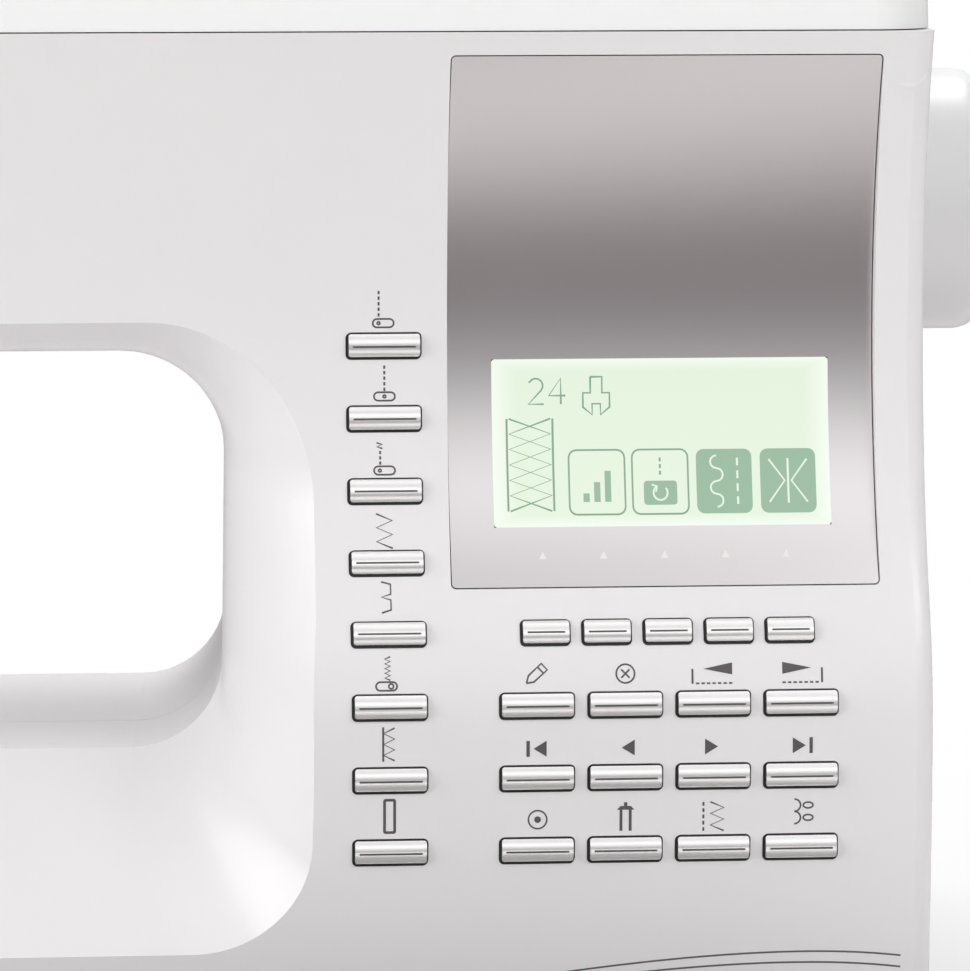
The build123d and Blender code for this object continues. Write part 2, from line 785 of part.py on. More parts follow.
# ---------------------------------------------------------------- frame casting
plate_front = 34.0
plate_back = 42.0
plate_low = arm_bottom + 5
plate_high = deck_height - 13
plate_left = head_left + 16.5
plate_right = right - 14
pillar_plate_left = harp_right + 20
pulley_x = (plate_right - 32, plate_right - 20)
sprocket_x = (pillar_plate_left + 25, pillar_plate_left + 35)
crank_x = (head_right - 9.5, head_right - 3.5)
main_bearings = [(plate_right - 10, plate_right), (sprocket_x[1] + 6, sprocket_x[1] + 16),
                 (crank_x[1] + 6, crank_x[1] + 16)]
motor_y = -10.0
motor_height = 90.0
motor_radius = 24.0
motor_x = (sprocket_x[1] + 12, pulley_x[0] - 4)
hook_y = needle_y - 19
hook_radius = 16.5
hook_shaft_radius = 4.0
gear_width = 12.0
hook_gear_radius = 11.7
lower_gear_radius = lower_shaft_y - hook_y - hook_gear_radius - fit
left_post = (needle_x - 26, needle_x - 14)
right_post = (needle_x + 22, needle_x + 34)
lower_bearings = [left_post, right_post, (pillar_plate_left + 10, pillar_plate_left + 20)]
plate_under_needle = bed_height - wall
guide_web = (needle_x - 18, needle_x - 10)
upper_guide = (deck_height - 25, deck_height - 17)
lower_guide = (head_bottom + 4, head_bottom + 12)
take_up_y = 24.0
take_up_height = waist_height
take_up_pin_radius = 2.5
lever_pin_radius = 2.5
feed_seat_top = bed_height - 14.6
arm_windows = 3
window_bridge = 8.0
window_width = (harp_right - head_right - 33.5) / arm_windows - window_bridge

with BuildPart() as frame_casting:
    plate = (plate_front, plate_back)
    block((plate_left, plate_right), plate, (plate_low, plate_high))
    block((pillar_plate_left, plate_right), plate, (tray_top, plate_low + 1))
    block((left_post[0], pillar_plate_left + 15), plate, (free_arm_bottom + 4, bed_height - 12))
    block((pillar_plate_left, plate_right), (0, plate_back), (tray_top, tray_top + 6))
    with Locations(Location(((sprocket_x[1] + plate_right) / 2, plate_back, 140), (90, 0, 0))):
        Box(40, 30, 40, mode=Mode.SUBTRACT)
    arm_middle = (harp_right + head_right) / 2
    with Locations(Location((arm_middle, plate_back, (plate_low + plate_high) / 2), (90, 0, 0))):
        with GridLocations(window_width + window_bridge, 0, arm_windows, 1):
            Box(window_width, 38, 40, mode=Mode.SUBTRACT)
    for bearing in main_bearings:
        block(bearing, (shaft_y - 11, plate_front + 1), (shaft_height - 11.5, shaft_height + 11.5))
        rod_x(
            (bearing[0] - 1, bearing[1] + 1), shaft_y, shaft_height, shaft_radius + running_fit,
            mode=Mode.SUBTRACT,
        )
    for bearing in lower_bearings:
        block(bearing, (lower_shaft_y - 12, plate_front + 1), (free_arm_bottom + 4, lower_shaft_height + 10))
    for post in (left_post, right_post):
        block(post, (lower_shaft_y - 12, plate_front + 1), (lower_shaft_height, plate_under_needle))
    for bearing in lower_bearings:
        rod_x(
            (bearing[0] - 1, bearing[1] + 1), lower_shaft_y, lower_shaft_height,
            lower_shaft_radius + running_fit, mode=Mode.SUBTRACT,
        )
    hook_bearing = (free_arm_bottom + 3.5, free_arm_bottom + 11)
    block(left_post, (hook_y - 8, 0), hook_bearing)
    block((left_post[0], needle_x + 8), (hook_y - 8, hook_y + 8), hook_bearing)
    rod_z(
        needle_x, hook_y, (free_arm_bottom, free_arm_bottom + 12), hook_shaft_radius + running_fit,
        mode=Mode.SUBTRACT,
    )
    block((needle_x - 10, needle_x + 10), (presser_y + 4, plate_front + 1), (bed_height - 24, feed_seat_top))
    block(guide_web, (needle_y - 8, plate_front + 1), (lower_guide[0], plate_high))
    block((guide_web[0], needle_x + 20), (needle_y - 8, plate_front + 1), upper_guide)
    block((guide_web[0], needle_x + 7), (needle_y - 8, presser_y + 8), lower_guide)
    guide_bore = (lower_guide[0] - 1, upper_guide[1] + 1)
    for y, radius in ((needle_y, needle_bar_radius), (presser_y, presser_bar_radius)):
        rod_z(needle_x, y, guide_bore, radius + running_fit, mode=Mode.SUBTRACT)
    take_up_lug = (take_up_right, take_up_right + 12)
    block(take_up_lug, (take_up_y - 6, plate_front + 1), (take_up_height - 6, take_up_height + 6))
    rod_x((take_up_left - 1, take_up_lug[0] + 1), take_up_y, take_up_height, take_up_pin_radius)
    lever_lug = (lever_right + 1, lever_right + 7)
    block(lever_lug, (lever_y - 6, plate_back), (head_bottom + wall + 0.5, plate_low + 1))
    rod_x((lever_left - 1, lever_lug[0] + 1), lever_y, lever_height, lever_pin_radius)
    for x in (motor_x[0] + 10, motor_x[1] - 10):
        block((x - 5, x + 5), (motor_y + 12, plate_front + 1), (motor_height - 12, motor_height + 12))
    rod_x(
        (motor_x[0] - 1, motor_x[1] + 1), motor_y, motor_height, motor_radius + press_clearance,
        mode=Mode.SUBTRACT,
    )
write(frame_casting.part, "frame_casting")

# ---------------------------------------------------------------- motor and drive
motor_shaft_radius = 3.0
motor_pulley_radius = 9.0
main_pulley_radius = 28.0
sprocket_radius = 15.0
belt_thickness = 1.5

with BuildPart() as motor:
    rod_x(motor_x, motor_y, motor_height, motor_radius)
    fillet(motor.edges().filter_by(GeomType.CIRCLE), 2)
    rod_x((motor_x[0] - 3, motor_x[0] + 1), motor_y, motor_height, 9)
    rod_x(
        (motor_x[1] - 20, motor_x[1] + 1), motor_y, motor_height, motor_shaft_radius + running_fit,
        mode=Mode.SUBTRACT,
    )
write(motor.part, "motor")


def pulley(x, y, z, radius, bore):
    """A flanged pulley whose rim leaves room for the belt."""
    with BuildPart() as wheel:
        rod_x(x, y, z, radius)
        rod_x((x[0], x[0] + 1), y, z, radius + belt_thickness + 0.6)
        rod_x((x[1] - 1, x[1]), y, z, radius + belt_thickness + 0.6)
        rod_x((x[0] - 1, x[1] + 1), y, z, bore, mode=Mode.SUBTRACT)
    return wheel.part


with BuildPart() as motor_shaft:
    rod_x((motor_x[1] - 18, pulley_x[1] + 1), motor_y, motor_height, motor_shaft_radius)
motor_wheel = pulley(
    pulley_x, motor_y, motor_height, motor_pulley_radius, motor_shaft_radius + press_clearance
)
write(Compound(children=[motor_shaft.part, motor_wheel]), "motor_pulley")


def belt_loop(x, first, second, first_radius, second_radius):
    """A flat belt round two pulleys, given by the Y and Z of their middles."""
    with BuildPart() as belt:
        for thickness, mode in ((fit + belt_thickness, Mode.ADD), (fit, Mode.SUBTRACT)):
            with BuildSketch(at_x(x[0])):
                with Locations(first):
                    Circle(first_radius + thickness)
                with Locations(second):
                    Circle(second_radius + thickness)
                make_hull()
            extrude(amount=x[1] - x[0], mode=mode)
    return belt.part


shaft_end = (shaft_y, shaft_height)
lower_end = (lower_shaft_y, lower_shaft_height)
motor_end = (motor_y, motor_height)
motor_belt = belt_loop(
    (pulley_x[0] + 1.3, pulley_x[1] - 1.3), shaft_end, motor_end, main_pulley_radius, motor_pulley_radius
)
timing_belt = belt_loop(
    (sprocket_x[0] + 1.3, sprocket_x[1] - 1.3), shaft_end, lower_end, sprocket_radius, sprocket_radius
)
write(Compound(children=[motor_belt, timing_belt]), "drive_belts")

crank_radius = 15.0
with BuildPart() as main_shaft:
    rod_x((crank_x[1] - 2, right + wheel_reach - 6), shaft_y, shaft_height, shaft_radius)
with BuildPart() as crank:
    rod_x(crank_x, shaft_y, shaft_height, 20)
    rod_x((crank_x[1] - 2, crank_x[1] + 1), shaft_y, shaft_height, shaft_radius + press_clearance,
          mode=Mode.SUBTRACT)
    rod_x((take_up_right + 1.5, crank_x[0] + 1), shaft_y, shaft_height + crank_radius, 3)
main_wheels = [
    pulley(x, shaft_y, shaft_height, radius, shaft_radius + press_clearance)
    for x, radius in ((pulley_x, main_pulley_radius), (sprocket_x, sprocket_radius))
]
write(Compound(children=[main_shaft.part, crank.part, *main_wheels]), "main_shaft")

handwheel_radius = 32.5
handwheel_gap = 1.0
with BuildPart() as handwheel:
    wheel_x = (right + handwheel_gap, right + wheel_reach)
    rod_x(wheel_x, shaft_y, shaft_height, handwheel_radius)
    rim = handwheel.edges().filter_by(GeomType.CIRCLE)
    fillet(rim.sort_by(Axis.X)[-1], 8)
    fillet(handwheel.edges().filter_by(GeomType.CIRCLE).sort_by(Axis.X)[0], 2)
    rod_x((right + wheel_reach - 3, right + wheel_reach + 1), shaft_y, shaft_height, 22, mode=Mode.SUBTRACT)
    rod_x((right, right + 10), shaft_y, shaft_height, 26, mode=Mode.SUBTRACT)
    rod_x((right + handwheel_gap, right + 11), shaft_y, shaft_height, 11)
    rod_x((right, right + wheel_reach - 5.9), shaft_y, shaft_height, shaft_radius + press_clearance,
          mode=Mode.SUBTRACT)
write(handwheel.part, "handwheel")

with BuildPart() as lower_bar:
    rod_x((left_post[0], sprocket_x[1] + 2), lower_shaft_y, lower_shaft_height, lower_shaft_radius)
lower_sprocket = pulley(
    sprocket_x, lower_shaft_y, lower_shaft_height, sprocket_radius, lower_shaft_radius + press_clearance
)
with BuildPart() as lower_gear:
    gear = (needle_x - gear_width / 2, needle_x + gear_width / 2)
    rod_x(gear, lower_shaft_y, lower_shaft_height, lower_gear_radius)
    rod_x(gear, lower_shaft_y, lower_shaft_height, lower_shaft_radius + press_clearance, mode=Mode.SUBTRACT)
write(Compound(children=[lower_bar.part, lower_sprocket, lower_gear.part]), "lower_shaft")

# ---------------------------------------------------------------- hook, bobbin and feed
hook_floor = bed_height - 17.5
hook_top = bed_height - 5.5
case_radius = 12.8
case_wall = 1.5
bobbin_radius = 10.2
bobbin_bore = 3.0
bobbin_low = bed_height - 14.4
bobbin_high = bed_height - 3.4

with BuildPart() as rotary_hook:
    rod_z(needle_x, hook_y, (hook_floor, hook_top), hook_radius)
    rod_z(needle_x, hook_y, (hook_floor + 1.5, hook_top + 1), case_radius + fit, mode=Mode.SUBTRACT)
    rod_z(needle_x, hook_y, (free_arm_bottom + 4, hook_floor + 1), hook_shaft_radius)
    rod_z(
        needle_x, hook_y, (lower_shaft_height - gear_width / 2, lower_shaft_height + gear_width / 2),
        hook_gear_radius,
    )
    with Locations(Location((needle_x + hook_radius, hook_y, hook_top), (0, 0, 40))):
        Box(9, 3, 5, mode=Mode.SUBTRACT)
write(rotary_hook.part, "rotary_hook")

with BuildPart() as bobbin:
    rod_z(needle_x, hook_y, (bobbin_low, bobbin_high), 5)
    rod_z(needle_x, hook_y, (bobbin_low, bobbin_low + 1), bobbin_radius)
    rod_z(needle_x, hook_y, (bobbin_high - 1, bobbin_high), bobbin_radius)
    rod_z(needle_x, hook_y, (bobbin_low - 1, bobbin_high + 1), bobbin_bore, mode=Mode.SUBTRACT)
    with Locations((needle_x, hook_y, bobbin_high)):
        with PolarLocations(7.4, 6):
            Cylinder(1.1, 4, mode=Mode.SUBTRACT)
write(bobbin.part, "bobbin")

plate_depth_front = hook_y + 0.7
feed_bars = [(needle_x - 8, needle_x - 4), (needle_x + 4, needle_x + 8)]
feed_bar_y = (needle_y - 7, needle_y + 10)
feed_travel = 1.5
plate_half_width = (bed_window_left + fit, bed_window_right - fit)
with BuildPart() as stitch_plate:
    block(plate_half_width, (plate_depth_front, bed_window_back - fit), (plate_under_needle, bed_height))
    upright = stitch_plate.edges().filter_by(Axis.Z)
    fillet(upright, 1.5)
    with BuildSketch(Plane.XY.offset(bed_height + 1)):
        with Locations((needle_x, needle_y)):
            SlotOverall(8, 1.8)
        for bar in feed_bars:
            with Locations(((bar[0] + bar[1]) / 2, sum(feed_bar_y) / 2)):
                Rectangle(bar[1] - bar[0] + 1, feed_bar_y[1] - feed_bar_y[0] + 2 * feed_travel + 1.4)
    extrude(amount=-(wall + 2), mode=Mode.SUBTRACT)
    with BuildSketch(Plane.XY.offset(bed_height)):
        for index in range(7):
            with Locations((needle_x + 14 + 3 * index, needle_y)):
                Rectangle(0.5, 34 if index % 2 else 40)
    extrude(amount=-0.3, mode=Mode.SUBTRACT)
with BuildPart() as bobbin_case:
    rod_z(needle_x, hook_y, (bobbin_low - case_wall + 0.2, bed_height - 5.0), case_radius)
    rod_z(needle_x, hook_y, (bobbin_low - fit, bed_height), bobbin_radius + 0.8, mode=Mode.SUBTRACT)
    rod_z(needle_x, hook_y, (bobbin_low - case_wall + 0.2, bobbin_high - 0.6), bobbin_bore - running_fit)
write(Compound(children=[stitch_plate.part, bobbin_case.part]), "needle_plate")

with BuildPart() as bobbin_cover:
    block(
        plate_half_width, (bed_window_front + fit, plate_depth_front - fit),
        (bed_height - wall + 0.1, bed_height),
    )
    fillet(bobbin_cover.edges().filter_by(Axis.Z), 1.5)
    with BuildSketch(Plane.XY.offset(bed_height)):
        with Locations((plate_half_width[1] - 10, (bed_window_front + plate_depth_front) / 2)):
            SlotOverall(9, 5, rotation=90)
    extrude(amount=-0.9, mode=Mode.SUBTRACT)
write(bobbin_cover.part, "bobbin_cover")

with BuildPart() as feed_dogs:
    carrier_y = (needle_y + 3, plate_front - 2 * feed_travel)
    block((needle_x - 10, needle_x + 10), carrier_y, (feed_seat_top + fit, feed_seat_top + 9))
    for bar in feed_bars:
        block(bar, feed_bar_y, (hook_top + 1.1, bed_height))
        block(bar, (carrier_y[0], feed_bar_y[1]), (feed_seat_top + 8, bed_height - 3))
        tooth_pitch = 1.4
        for index in range(11):
            with Locations((sum(bar) / 2, feed_bar_y[0] + 1.5 + index * tooth_pitch, bed_height)):
                Box(3, 1.0, 1.0, rotation=(45, 0, 0), mode=Mode.SUBTRACT)
write(feed_dogs.part, "feed_dogs")

# ---------------------------------------------------------------- needle bar and take-up
needle_depth = 12.0            # tip below the needle plate at the bottom of the stroke
tip_height = bed_height + needle_stroke - needle_depth
needle_length = 38.0
clamp = (tip_height + 32, tip_height + 40)
with BuildPart() as needle_bar:
    rod_z(needle_x, needle_y, (clamp[0] - 3, deck_height - 10.5), needle_bar_radius)
    rod_z(needle_x, needle_y, clamp, 5)
    rod_x((needle_x, needle_x + 11), needle_y, sum(clamp) / 2, 1.6)
    rod_x((needle_x + 8, needle_x + 11), needle_y, sum(clamp) / 2, 3)
    rod_z(needle_x, needle_y, (clamp[0] - 4, clamp[1] - 2), 1.0 + press_clearance, mode=Mode.SUBTRACT)
    rod_z(needle_x, needle_y, (shaft_height - 12, shaft_height - 4), 5)
write(needle_bar.part, "needle_bar")

with BuildPart() as needle:
    with BuildSketch(Plane.XZ):
        with BuildLine():
            Polyline(
                (0, 0), (0.35, 2.5), (0.4, needle_length - 14), (1.0, needle_length - 11),
                (1.0, needle_length), (0, needle_length), close=True,
            )
        make_face()
    revolve(axis=Axis.Z)
    with Locations((0, 0, 4)):
        Box(0.25, 2, 1.6, mode=Mode.SUBTRACT)
write(Pos(needle_x, needle_y, tip_height) * needle.part, "needle")

take_up_length = 100.0
take_up_rise = math.radians(25.2)
take_up_tip = (
    take_up_y - take_up_length * math.cos(take_up_rise),
    take_up_height + take_up_length * math.sin(take_up_rise),
)
with BuildPart() as take_up_lever:
    with BuildSketch(at_x(take_up_left)):
        with Locations((take_up_y, take_up_height)):
            Circle(6)
        with Locations(take_up_tip):
            Circle(3)
        make_hull()
        with Locations((take_up_y, take_up_height)):
            Circle(take_up_pin_radius + running_fit, mode=Mode.SUBTRACT)
        with Locations(take_up_tip):
            Circle(1.4, mode=Mode.SUBTRACT)
    extrude(amount=take_up_right - take_up_left)
write(take_up_lever.part, "take_up_lever")

# ---------------------------------------------------------------- presser bar, foot, lifter
foot_sole = bed_height + presser_lift + 0.4
foot_pin_y = needle_y + 10
foot_pin_height = foot_sole + 6.6
cheek = ((needle_x - 7, needle_x - 4), (needle_x + 4, needle_x + 7))
nose_length = 9.0
nose_radius = 2.5
nose_angle = math.radians(60)
bracket_low = lever_height + nose_length * math.sin(nose_angle) + nose_radius + 0.6
with BuildPart() as presser_bar:
    rod_z(needle_x, presser_y, (foot_sole + 12.6, deck_height - 12), presser_bar_radius)
    block((needle_x - 7, needle_x + 7), (needle_y + 7, presser_y + 6), (foot_sole + 12.6, foot_sole + 25))
    for side in cheek:
        block(side, (needle_y + 7, needle_y + 13), (foot_sole + 3.6, foot_sole + 12.7))
        rod_x(side, foot_pin_y, foot_pin_height, 1.5 + running_fit, mode=Mode.SUBTRACT)
    rod_z(needle_x, presser_y, (bracket_low, bracket_low + 6), 7)
    block((needle_x, lever_right + 1), (presser_y - 4, presser_y + 24), (bracket_low, bracket_low + 6))
    rod_z(needle_x, presser_y, (bracket_low + 6, upper_guide[0] - fit), presser_bar_radius + 1.2)
write(presser_bar.part, "presser_bar")

with BuildPart() as presser_foot:
    sole_y = (needle_y - 11.5, needle_y + 10)
    block((needle_x - 9, needle_x + 9), sole_y, (foot_sole, foot_sole + 1.8))
    with BuildSketch(at_x(needle_x - 9)):
        with BuildLine():
            Polyline(
                (sole_y[0], foot_sole), (sole_y[0], foot_sole + 1.8), (sole_y[0] - 6, foot_sole + 6),
                (sole_y[0] - 6.6, foot_sole + 5), close=True,
            )
        make_face()
    extrude(amount=18)
    block((needle_x - 3.8, needle_x + 3.8), (needle_y - 3, needle_y + 2.5), (foot_sole - 1, foot_sole + 4),
          mode=Mode.SUBTRACT)
    block((needle_x - 1.2, needle_x + 1.2), (sole_y[0] - 8, needle_y - 2), (foot_sole - 1, foot_sole + 9),
          mode=Mode.SUBTRACT)
    block(
        (needle_x - 3, needle_x + 3), (foot_pin_y - 3, foot_pin_y + 2), (foot_sole + 1, foot_pin_height + 2)
    )
    rod_x((cheek[0][0], cheek[1][1]), foot_pin_y, foot_pin_height, 1.5)
write(presser_foot.part, "presser_foot")

lever_length = 46.0
lever_hub_radius = 4.5
lever_fall = math.radians(18)
lever_end = (
    lever_y + lever_length * math.cos(lever_fall), lever_height - lever_length * math.sin(lever_fall)
)
nose_end = (
    lever_y + nose_length * math.cos(nose_angle), lever_height + nose_length * math.sin(nose_angle)
)
with BuildPart() as presser_lifter:
    for end, radius in ((lever_end, 3.5), (nose_end, nose_radius)):
        with BuildSketch(at_x(lever_left)):
            with Locations((lever_y, lever_height)):
                Circle(lever_hub_radius)
            with Locations(end):
                Circle(radius)
            make_hull()
        extrude(amount=lever_right - lever_left)
    rod_x((lever_left - 5, lever_right + 5), *lever_end, 3.5)
    rod_x((lever_left - 1, lever_right + 1), lever_y, lever_height, lever_pin_radius + running_fit,
          mode=Mode.SUBTRACT)
write(presser_lifter.part, "presser_lifter")

# ---------------------------------------------------------------- top lid
lid_seat = deck_height + fit
lid_front = front_y(deck_height) + 1.0
lid_back = back - 7.0
lid_top = deck_height + lid_height
lid_corner = 14.0
lid_crown = 13.0
lid_lean = 8.0


def lid_block(inset, low, high):
    """The rounded body of the lid, leaning in towards its top."""
    with BuildPart() as shape:
        for height, lean in ((low, 0), (high, lid_lean)):
            with BuildSketch(Plane.XY.offset(height)):
                x = (head_left + inset, right - inset)
                y = (lid_front + inset + lean, lid_back - inset)
                with Locations((sum(x) / 2, sum(y) / 2)):
                    RectangleRounded(x[1] - x[0], y[1] - y[0], lid_corner - inset)
        loft(ruled=True)
        fillet(shape.faces().sort_by(Axis.Z)[-1].edges(), lid_crown - inset)
    return shape.part


with BuildPart() as top_lid:
    add(lid_block(0, lid_seat, lid_top))
    add(lid_block(wall, lid_seat, lid_top - wall), mode=Mode.SUBTRACT)
    for x in hinge_places:
        for side in (-1, 1):
            inner = x + side * (hinge_ear_width / 2 + fit)
            knuckle = sorted((inner, inner + side * 5))
            block(knuckle, (lid_back - wall, hinge_y), (lid_seat + 1, hinge_height + hinge_radius))
            rod_x(knuckle, hinge_y, hinge_height, hinge_radius)
        rod_x(
            (x - hinge_ear_width / 2 - 1, x + hinge_ear_width / 2 + 1), hinge_y, hinge_height,
            hinge_pin_radius,
        )
write(top_lid.part, "top_lid")

# ---------------------------------------------------------------- under the lid
with BuildPart() as tension_dial:
    rod_x((dial_x - dial_width / 2, dial_x + dial_width / 2), dial_y, dial_height, dial_radius)
    with Locations(Location((dial_x, dial_y, dial_height), (0, 90, 0))):
        with PolarLocations(dial_radius + 0.5, 40):
            Cylinder(0.9, 2 * dial_width, mode=Mode.SUBTRACT)
    rod_x(
        (dial_x - dial_width / 2 - 3.5, dial_x + dial_width / 2 + 3.5), dial_y, dial_height, dial_axle
    )
write(tension_dial.part, "tension_dial")

spool_x = (panel_x - 30, panel_x + 36)
spool_y = 38.0
spool_height = deck_height + 22
with BuildPart() as spool_base:
    block((spool_x[1], spool_x[1] + 10), (spool_y - 12, spool_y + 12), (deck_height, deck_height + 4))
    block((spool_x[1], spool_x[1] + 10), (spool_y - 6, spool_y + 6), (deck_height, spool_height + 6))
    rod_x((spool_x[0], spool_x[1] + 1), spool_y, spool_height, 3)
with BuildPart() as spool_cap:
    rod_x((spool_x[0] + 4, spool_x[0] + 7), spool_y, spool_height, 13)
    rod_x((spool_x[0] + 7, spool_x[0] + 15), spool_y, spool_height, 6)
    rod_x((spool_x[0] + 3, spool_x[0] + 16), spool_y, spool_height, 3 + press_clearance, mode=Mode.SUBTRACT)
write(Compound(children=[spool_base.part, spool_cap.part]), "spool_pin")

with BuildPart() as bobbin_winder:
    rod_z(winder_x, winder_y, (deck_height - wall - 5, deck_height + 21), winder_radius)
    rod_z(winder_x, winder_y, (deck_height + fit, deck_height + 4), 9)
    rod_z(winder_x, winder_y, (deck_height - wall - 3.5, deck_height - wall - fit), 8)
write(bobbin_winder.part, "bobbin_winder")

# ---------------------------------------------------------------- speed slider
with BuildPart() as speed_slider:
    slider_face = front_plane(slider_x, slider_height)
    with BuildSketch(slider_face.offset(0.3)):
        RectangleRounded(slider_knob, 7, 1.2)
    extrude(amount=4)
    fillet(speed_slider.faces().sort_by(Axis(slider_face.origin, slider_face.z_dir))[-1].edges(), 1)
    with BuildSketch(slider_face.offset(0.5)):
        Rectangle(4, slider_slot)
    extrude(amount=-(wall + 1.5))
    with BuildSketch(slider_face.offset(-wall - flange_gap)):
        Rectangle(16, 9)
    extrude(amount=-1.5)
    with BuildSketch(slider_face.offset(-wall - 1)):
        Rectangle(4, 4)
    to_slider_board = (main_board_y - front_y(slider_height)) / math.cos(front_tilt(slider_height))
    extrude(amount=-(to_slider_board - wall - 2))
write(speed_slider.part, "speed_slider")

# ---------------------------------------------------------------- switch and inlet
with BuildPart() as power_switch:
    with BuildSketch(Plane.XZ.offset(-(switch_y - switch_width / 2))):
        with BuildLine():
            Polyline(
                (right - 8, switch_height - 7), (right + 0.4, switch_height - switch_tall / 2),
                (right - 0.2, switch_height), (right + 0.4, switch_height + switch_tall / 2),
                (right - 8, switch_height + 7), close=True,
            )
        make_face()
    extrude(amount=-switch_width)
    rod_y(switch_pivot_x, (switch_y - switch_side - 1.8, switch_y + switch_side + 1.8), switch_height, 1.5)
write(power_switch.part, "power_switch")

with BuildPart() as power_inlet:
    inlet = ((inlet_y - inlet_width / 2 + fit, inlet_y + inlet_width / 2 - fit),
             (inlet_height - inlet_tall / 2 + fit, inlet_height + inlet_tall / 2 - fit))
    block((right - 18, right), *inlet)
    flange = ((inlet[0][0] - 3, inlet[0][1] + 3), (inlet[1][0] - 3, inlet[1][1] + 3))
    block((right - wall - 2, right - wall - 0.1), *flange)
    block(
        (right - 15, right + 1), (inlet[0][0] + inlet_wall, inlet[0][1] - inlet_wall),
        (inlet[1][0] + inlet_wall, inlet[1][1] - inlet_wall), mode=Mode.SUBTRACT,
    )
    for side in (-1, 1):
        rod_x((right - 16, right - 4), inlet_y + side * 5, inlet_height, 1.2)
write(power_inlet.part, "power_inlet")

# ---------------------------------------------------------------- extension table
table_gap = 0.5
table_right = block_left - fit
table_floor = foot_height + fit
table_slope_height = 29.0
slope_y = front_y(table_slope_height)
with BuildPart() as table_outside:
    with BuildSketch(Plane.XY.offset(table_floor)):
        with BuildLine():
            FilletPolyline(
                [(table_right, front), (table_left, front), (table_left, back), (table_right, back)],
                radius=[0, 20, 20, 0], close=True,
            )
        make_face()
    extrude(amount=bed_height - table_floor)
    with BuildPart(mode=Mode.PRIVATE) as table_profile:
        with BuildSketch(at_x(table_left - 1)):
            with BuildLine():
                middle = (table_floor + table_slope_height) / 2
                ThreePointArc(
                    (front_y(table_floor), table_floor), (front_y(middle), middle),
                    (slope_y, table_slope_height),
                )
                Polyline(
                    (slope_y, table_slope_height), (throat_y, bed_height), (back, bed_height),
                    (back, table_floor), (front_y(table_floor), table_floor),
                )
            make_face()
        extrude(amount=table_right - table_left + 2)
    add(table_profile.part, mode=Mode.INTERSECT)
with BuildPart() as extension_table:
    add(table_outside.part)
    block(
        (free_arm_left - table_gap, table_right + 1),
        (free_arm_front - table_gap, free_arm_back + table_gap),
        (table_floor + wall, bed_height + 1), mode=Mode.SUBTRACT,
    )
    store_front = front_y(table_floor, wall) + 0.5
    with BuildSketch(at_x(free_arm_left + 10)):
        with BuildLine():
            Polyline(
                (store_front, table_floor + wall), (store_front, table_slope_height),
                (free_arm_front - 3.6, bed_height - 2 * wall), (free_arm_front + 1, bed_height - 2 * wall),
                (free_arm_front + 1, table_floor + wall), close=True,
            )
        make_face()
    extrude(amount=table_right - wall - free_arm_left - 10, mode=Mode.SUBTRACT)
    block(
        (free_arm_left + 10, table_right - wall), (free_arm_back, back - wall),
        (table_floor + wall, bed_height - wall), mode=Mode.SUBTRACT,
    )
    for y, z in peg_places:
        rod_x((table_right - 1, table_right + 6), y, z, peg_radius)
    for x in (table_left + 22, table_right - 20):
        for y in (front + 23.25, back - 24.75):
            rod_z(x, y, (fit, table_floor + 0.5), 7)
write(extension_table.part, "extension_table")
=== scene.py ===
import json
import math

import bmesh
import bpy
from mathutils import Matrix, Vector
from mathutils.bvhtree import BVHTree


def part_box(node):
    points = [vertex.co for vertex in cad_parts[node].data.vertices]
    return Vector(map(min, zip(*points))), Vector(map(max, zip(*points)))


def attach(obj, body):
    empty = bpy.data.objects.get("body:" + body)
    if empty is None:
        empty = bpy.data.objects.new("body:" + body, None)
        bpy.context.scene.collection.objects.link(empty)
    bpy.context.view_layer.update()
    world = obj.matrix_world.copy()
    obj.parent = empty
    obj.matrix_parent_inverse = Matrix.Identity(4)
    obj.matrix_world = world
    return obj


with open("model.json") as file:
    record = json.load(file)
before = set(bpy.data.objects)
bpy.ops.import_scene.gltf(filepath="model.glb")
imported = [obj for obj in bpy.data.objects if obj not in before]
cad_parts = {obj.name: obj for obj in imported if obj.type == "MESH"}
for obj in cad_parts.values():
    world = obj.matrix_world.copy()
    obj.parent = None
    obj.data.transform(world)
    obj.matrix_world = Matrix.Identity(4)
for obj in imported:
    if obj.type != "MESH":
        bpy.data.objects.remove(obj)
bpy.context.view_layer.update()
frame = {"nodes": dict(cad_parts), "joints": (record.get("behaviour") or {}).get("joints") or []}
nodes = frame["nodes"]
MM = 0.001

# ------------------------------------------------------------------ white covers
# The two halves of the case and the slide-off table are injection-moulded white ABS.
# The mould is polished, so the walls are smooth with a soft gloss. The white drifts by a
# hair over a few centimetres, and the gloss over about one, as on real mouldings.


def srgb(hex_colour):
    """An sRGB hex colour as the linear colour that a shader takes."""
    channels = [int(hex_colour[place : place + 2], 16) / 255 for place in (0, 2, 4)]
    linear = [c / 12.92 if c <= 0.04045 else ((c + 0.055) / 1.055) ** 2.4 for c in channels]
    return (*linear, 1.0)


def add_node(finish, kind, inputs=(), **settings):
    """One node with its settings, and its inputs as values or as links from other sockets."""
    node = finish.node_tree.nodes.new(kind)
    for name, value in settings.items():
        setattr(node, name, value)
    for name, value in dict(inputs).items():
        if isinstance(value, bpy.types.NodeSocket):
            finish.node_tree.links.new(value, node.inputs[name])
        else:
            node.inputs[name].default_value = value
    return node


def new_finish(name):
    """An empty material for one finish of the machine."""
    finish = bpy.data.materials.new(name)
    finish.use_nodes = True
    finish.node_tree.nodes.clear()
    return finish


def close_finish(finish, shader):
    """Joins the last shader of a finish to its output."""
    add_node(finish, "ShaderNodeOutputMaterial", {"Surface": shader.outputs[0]})
    return finish


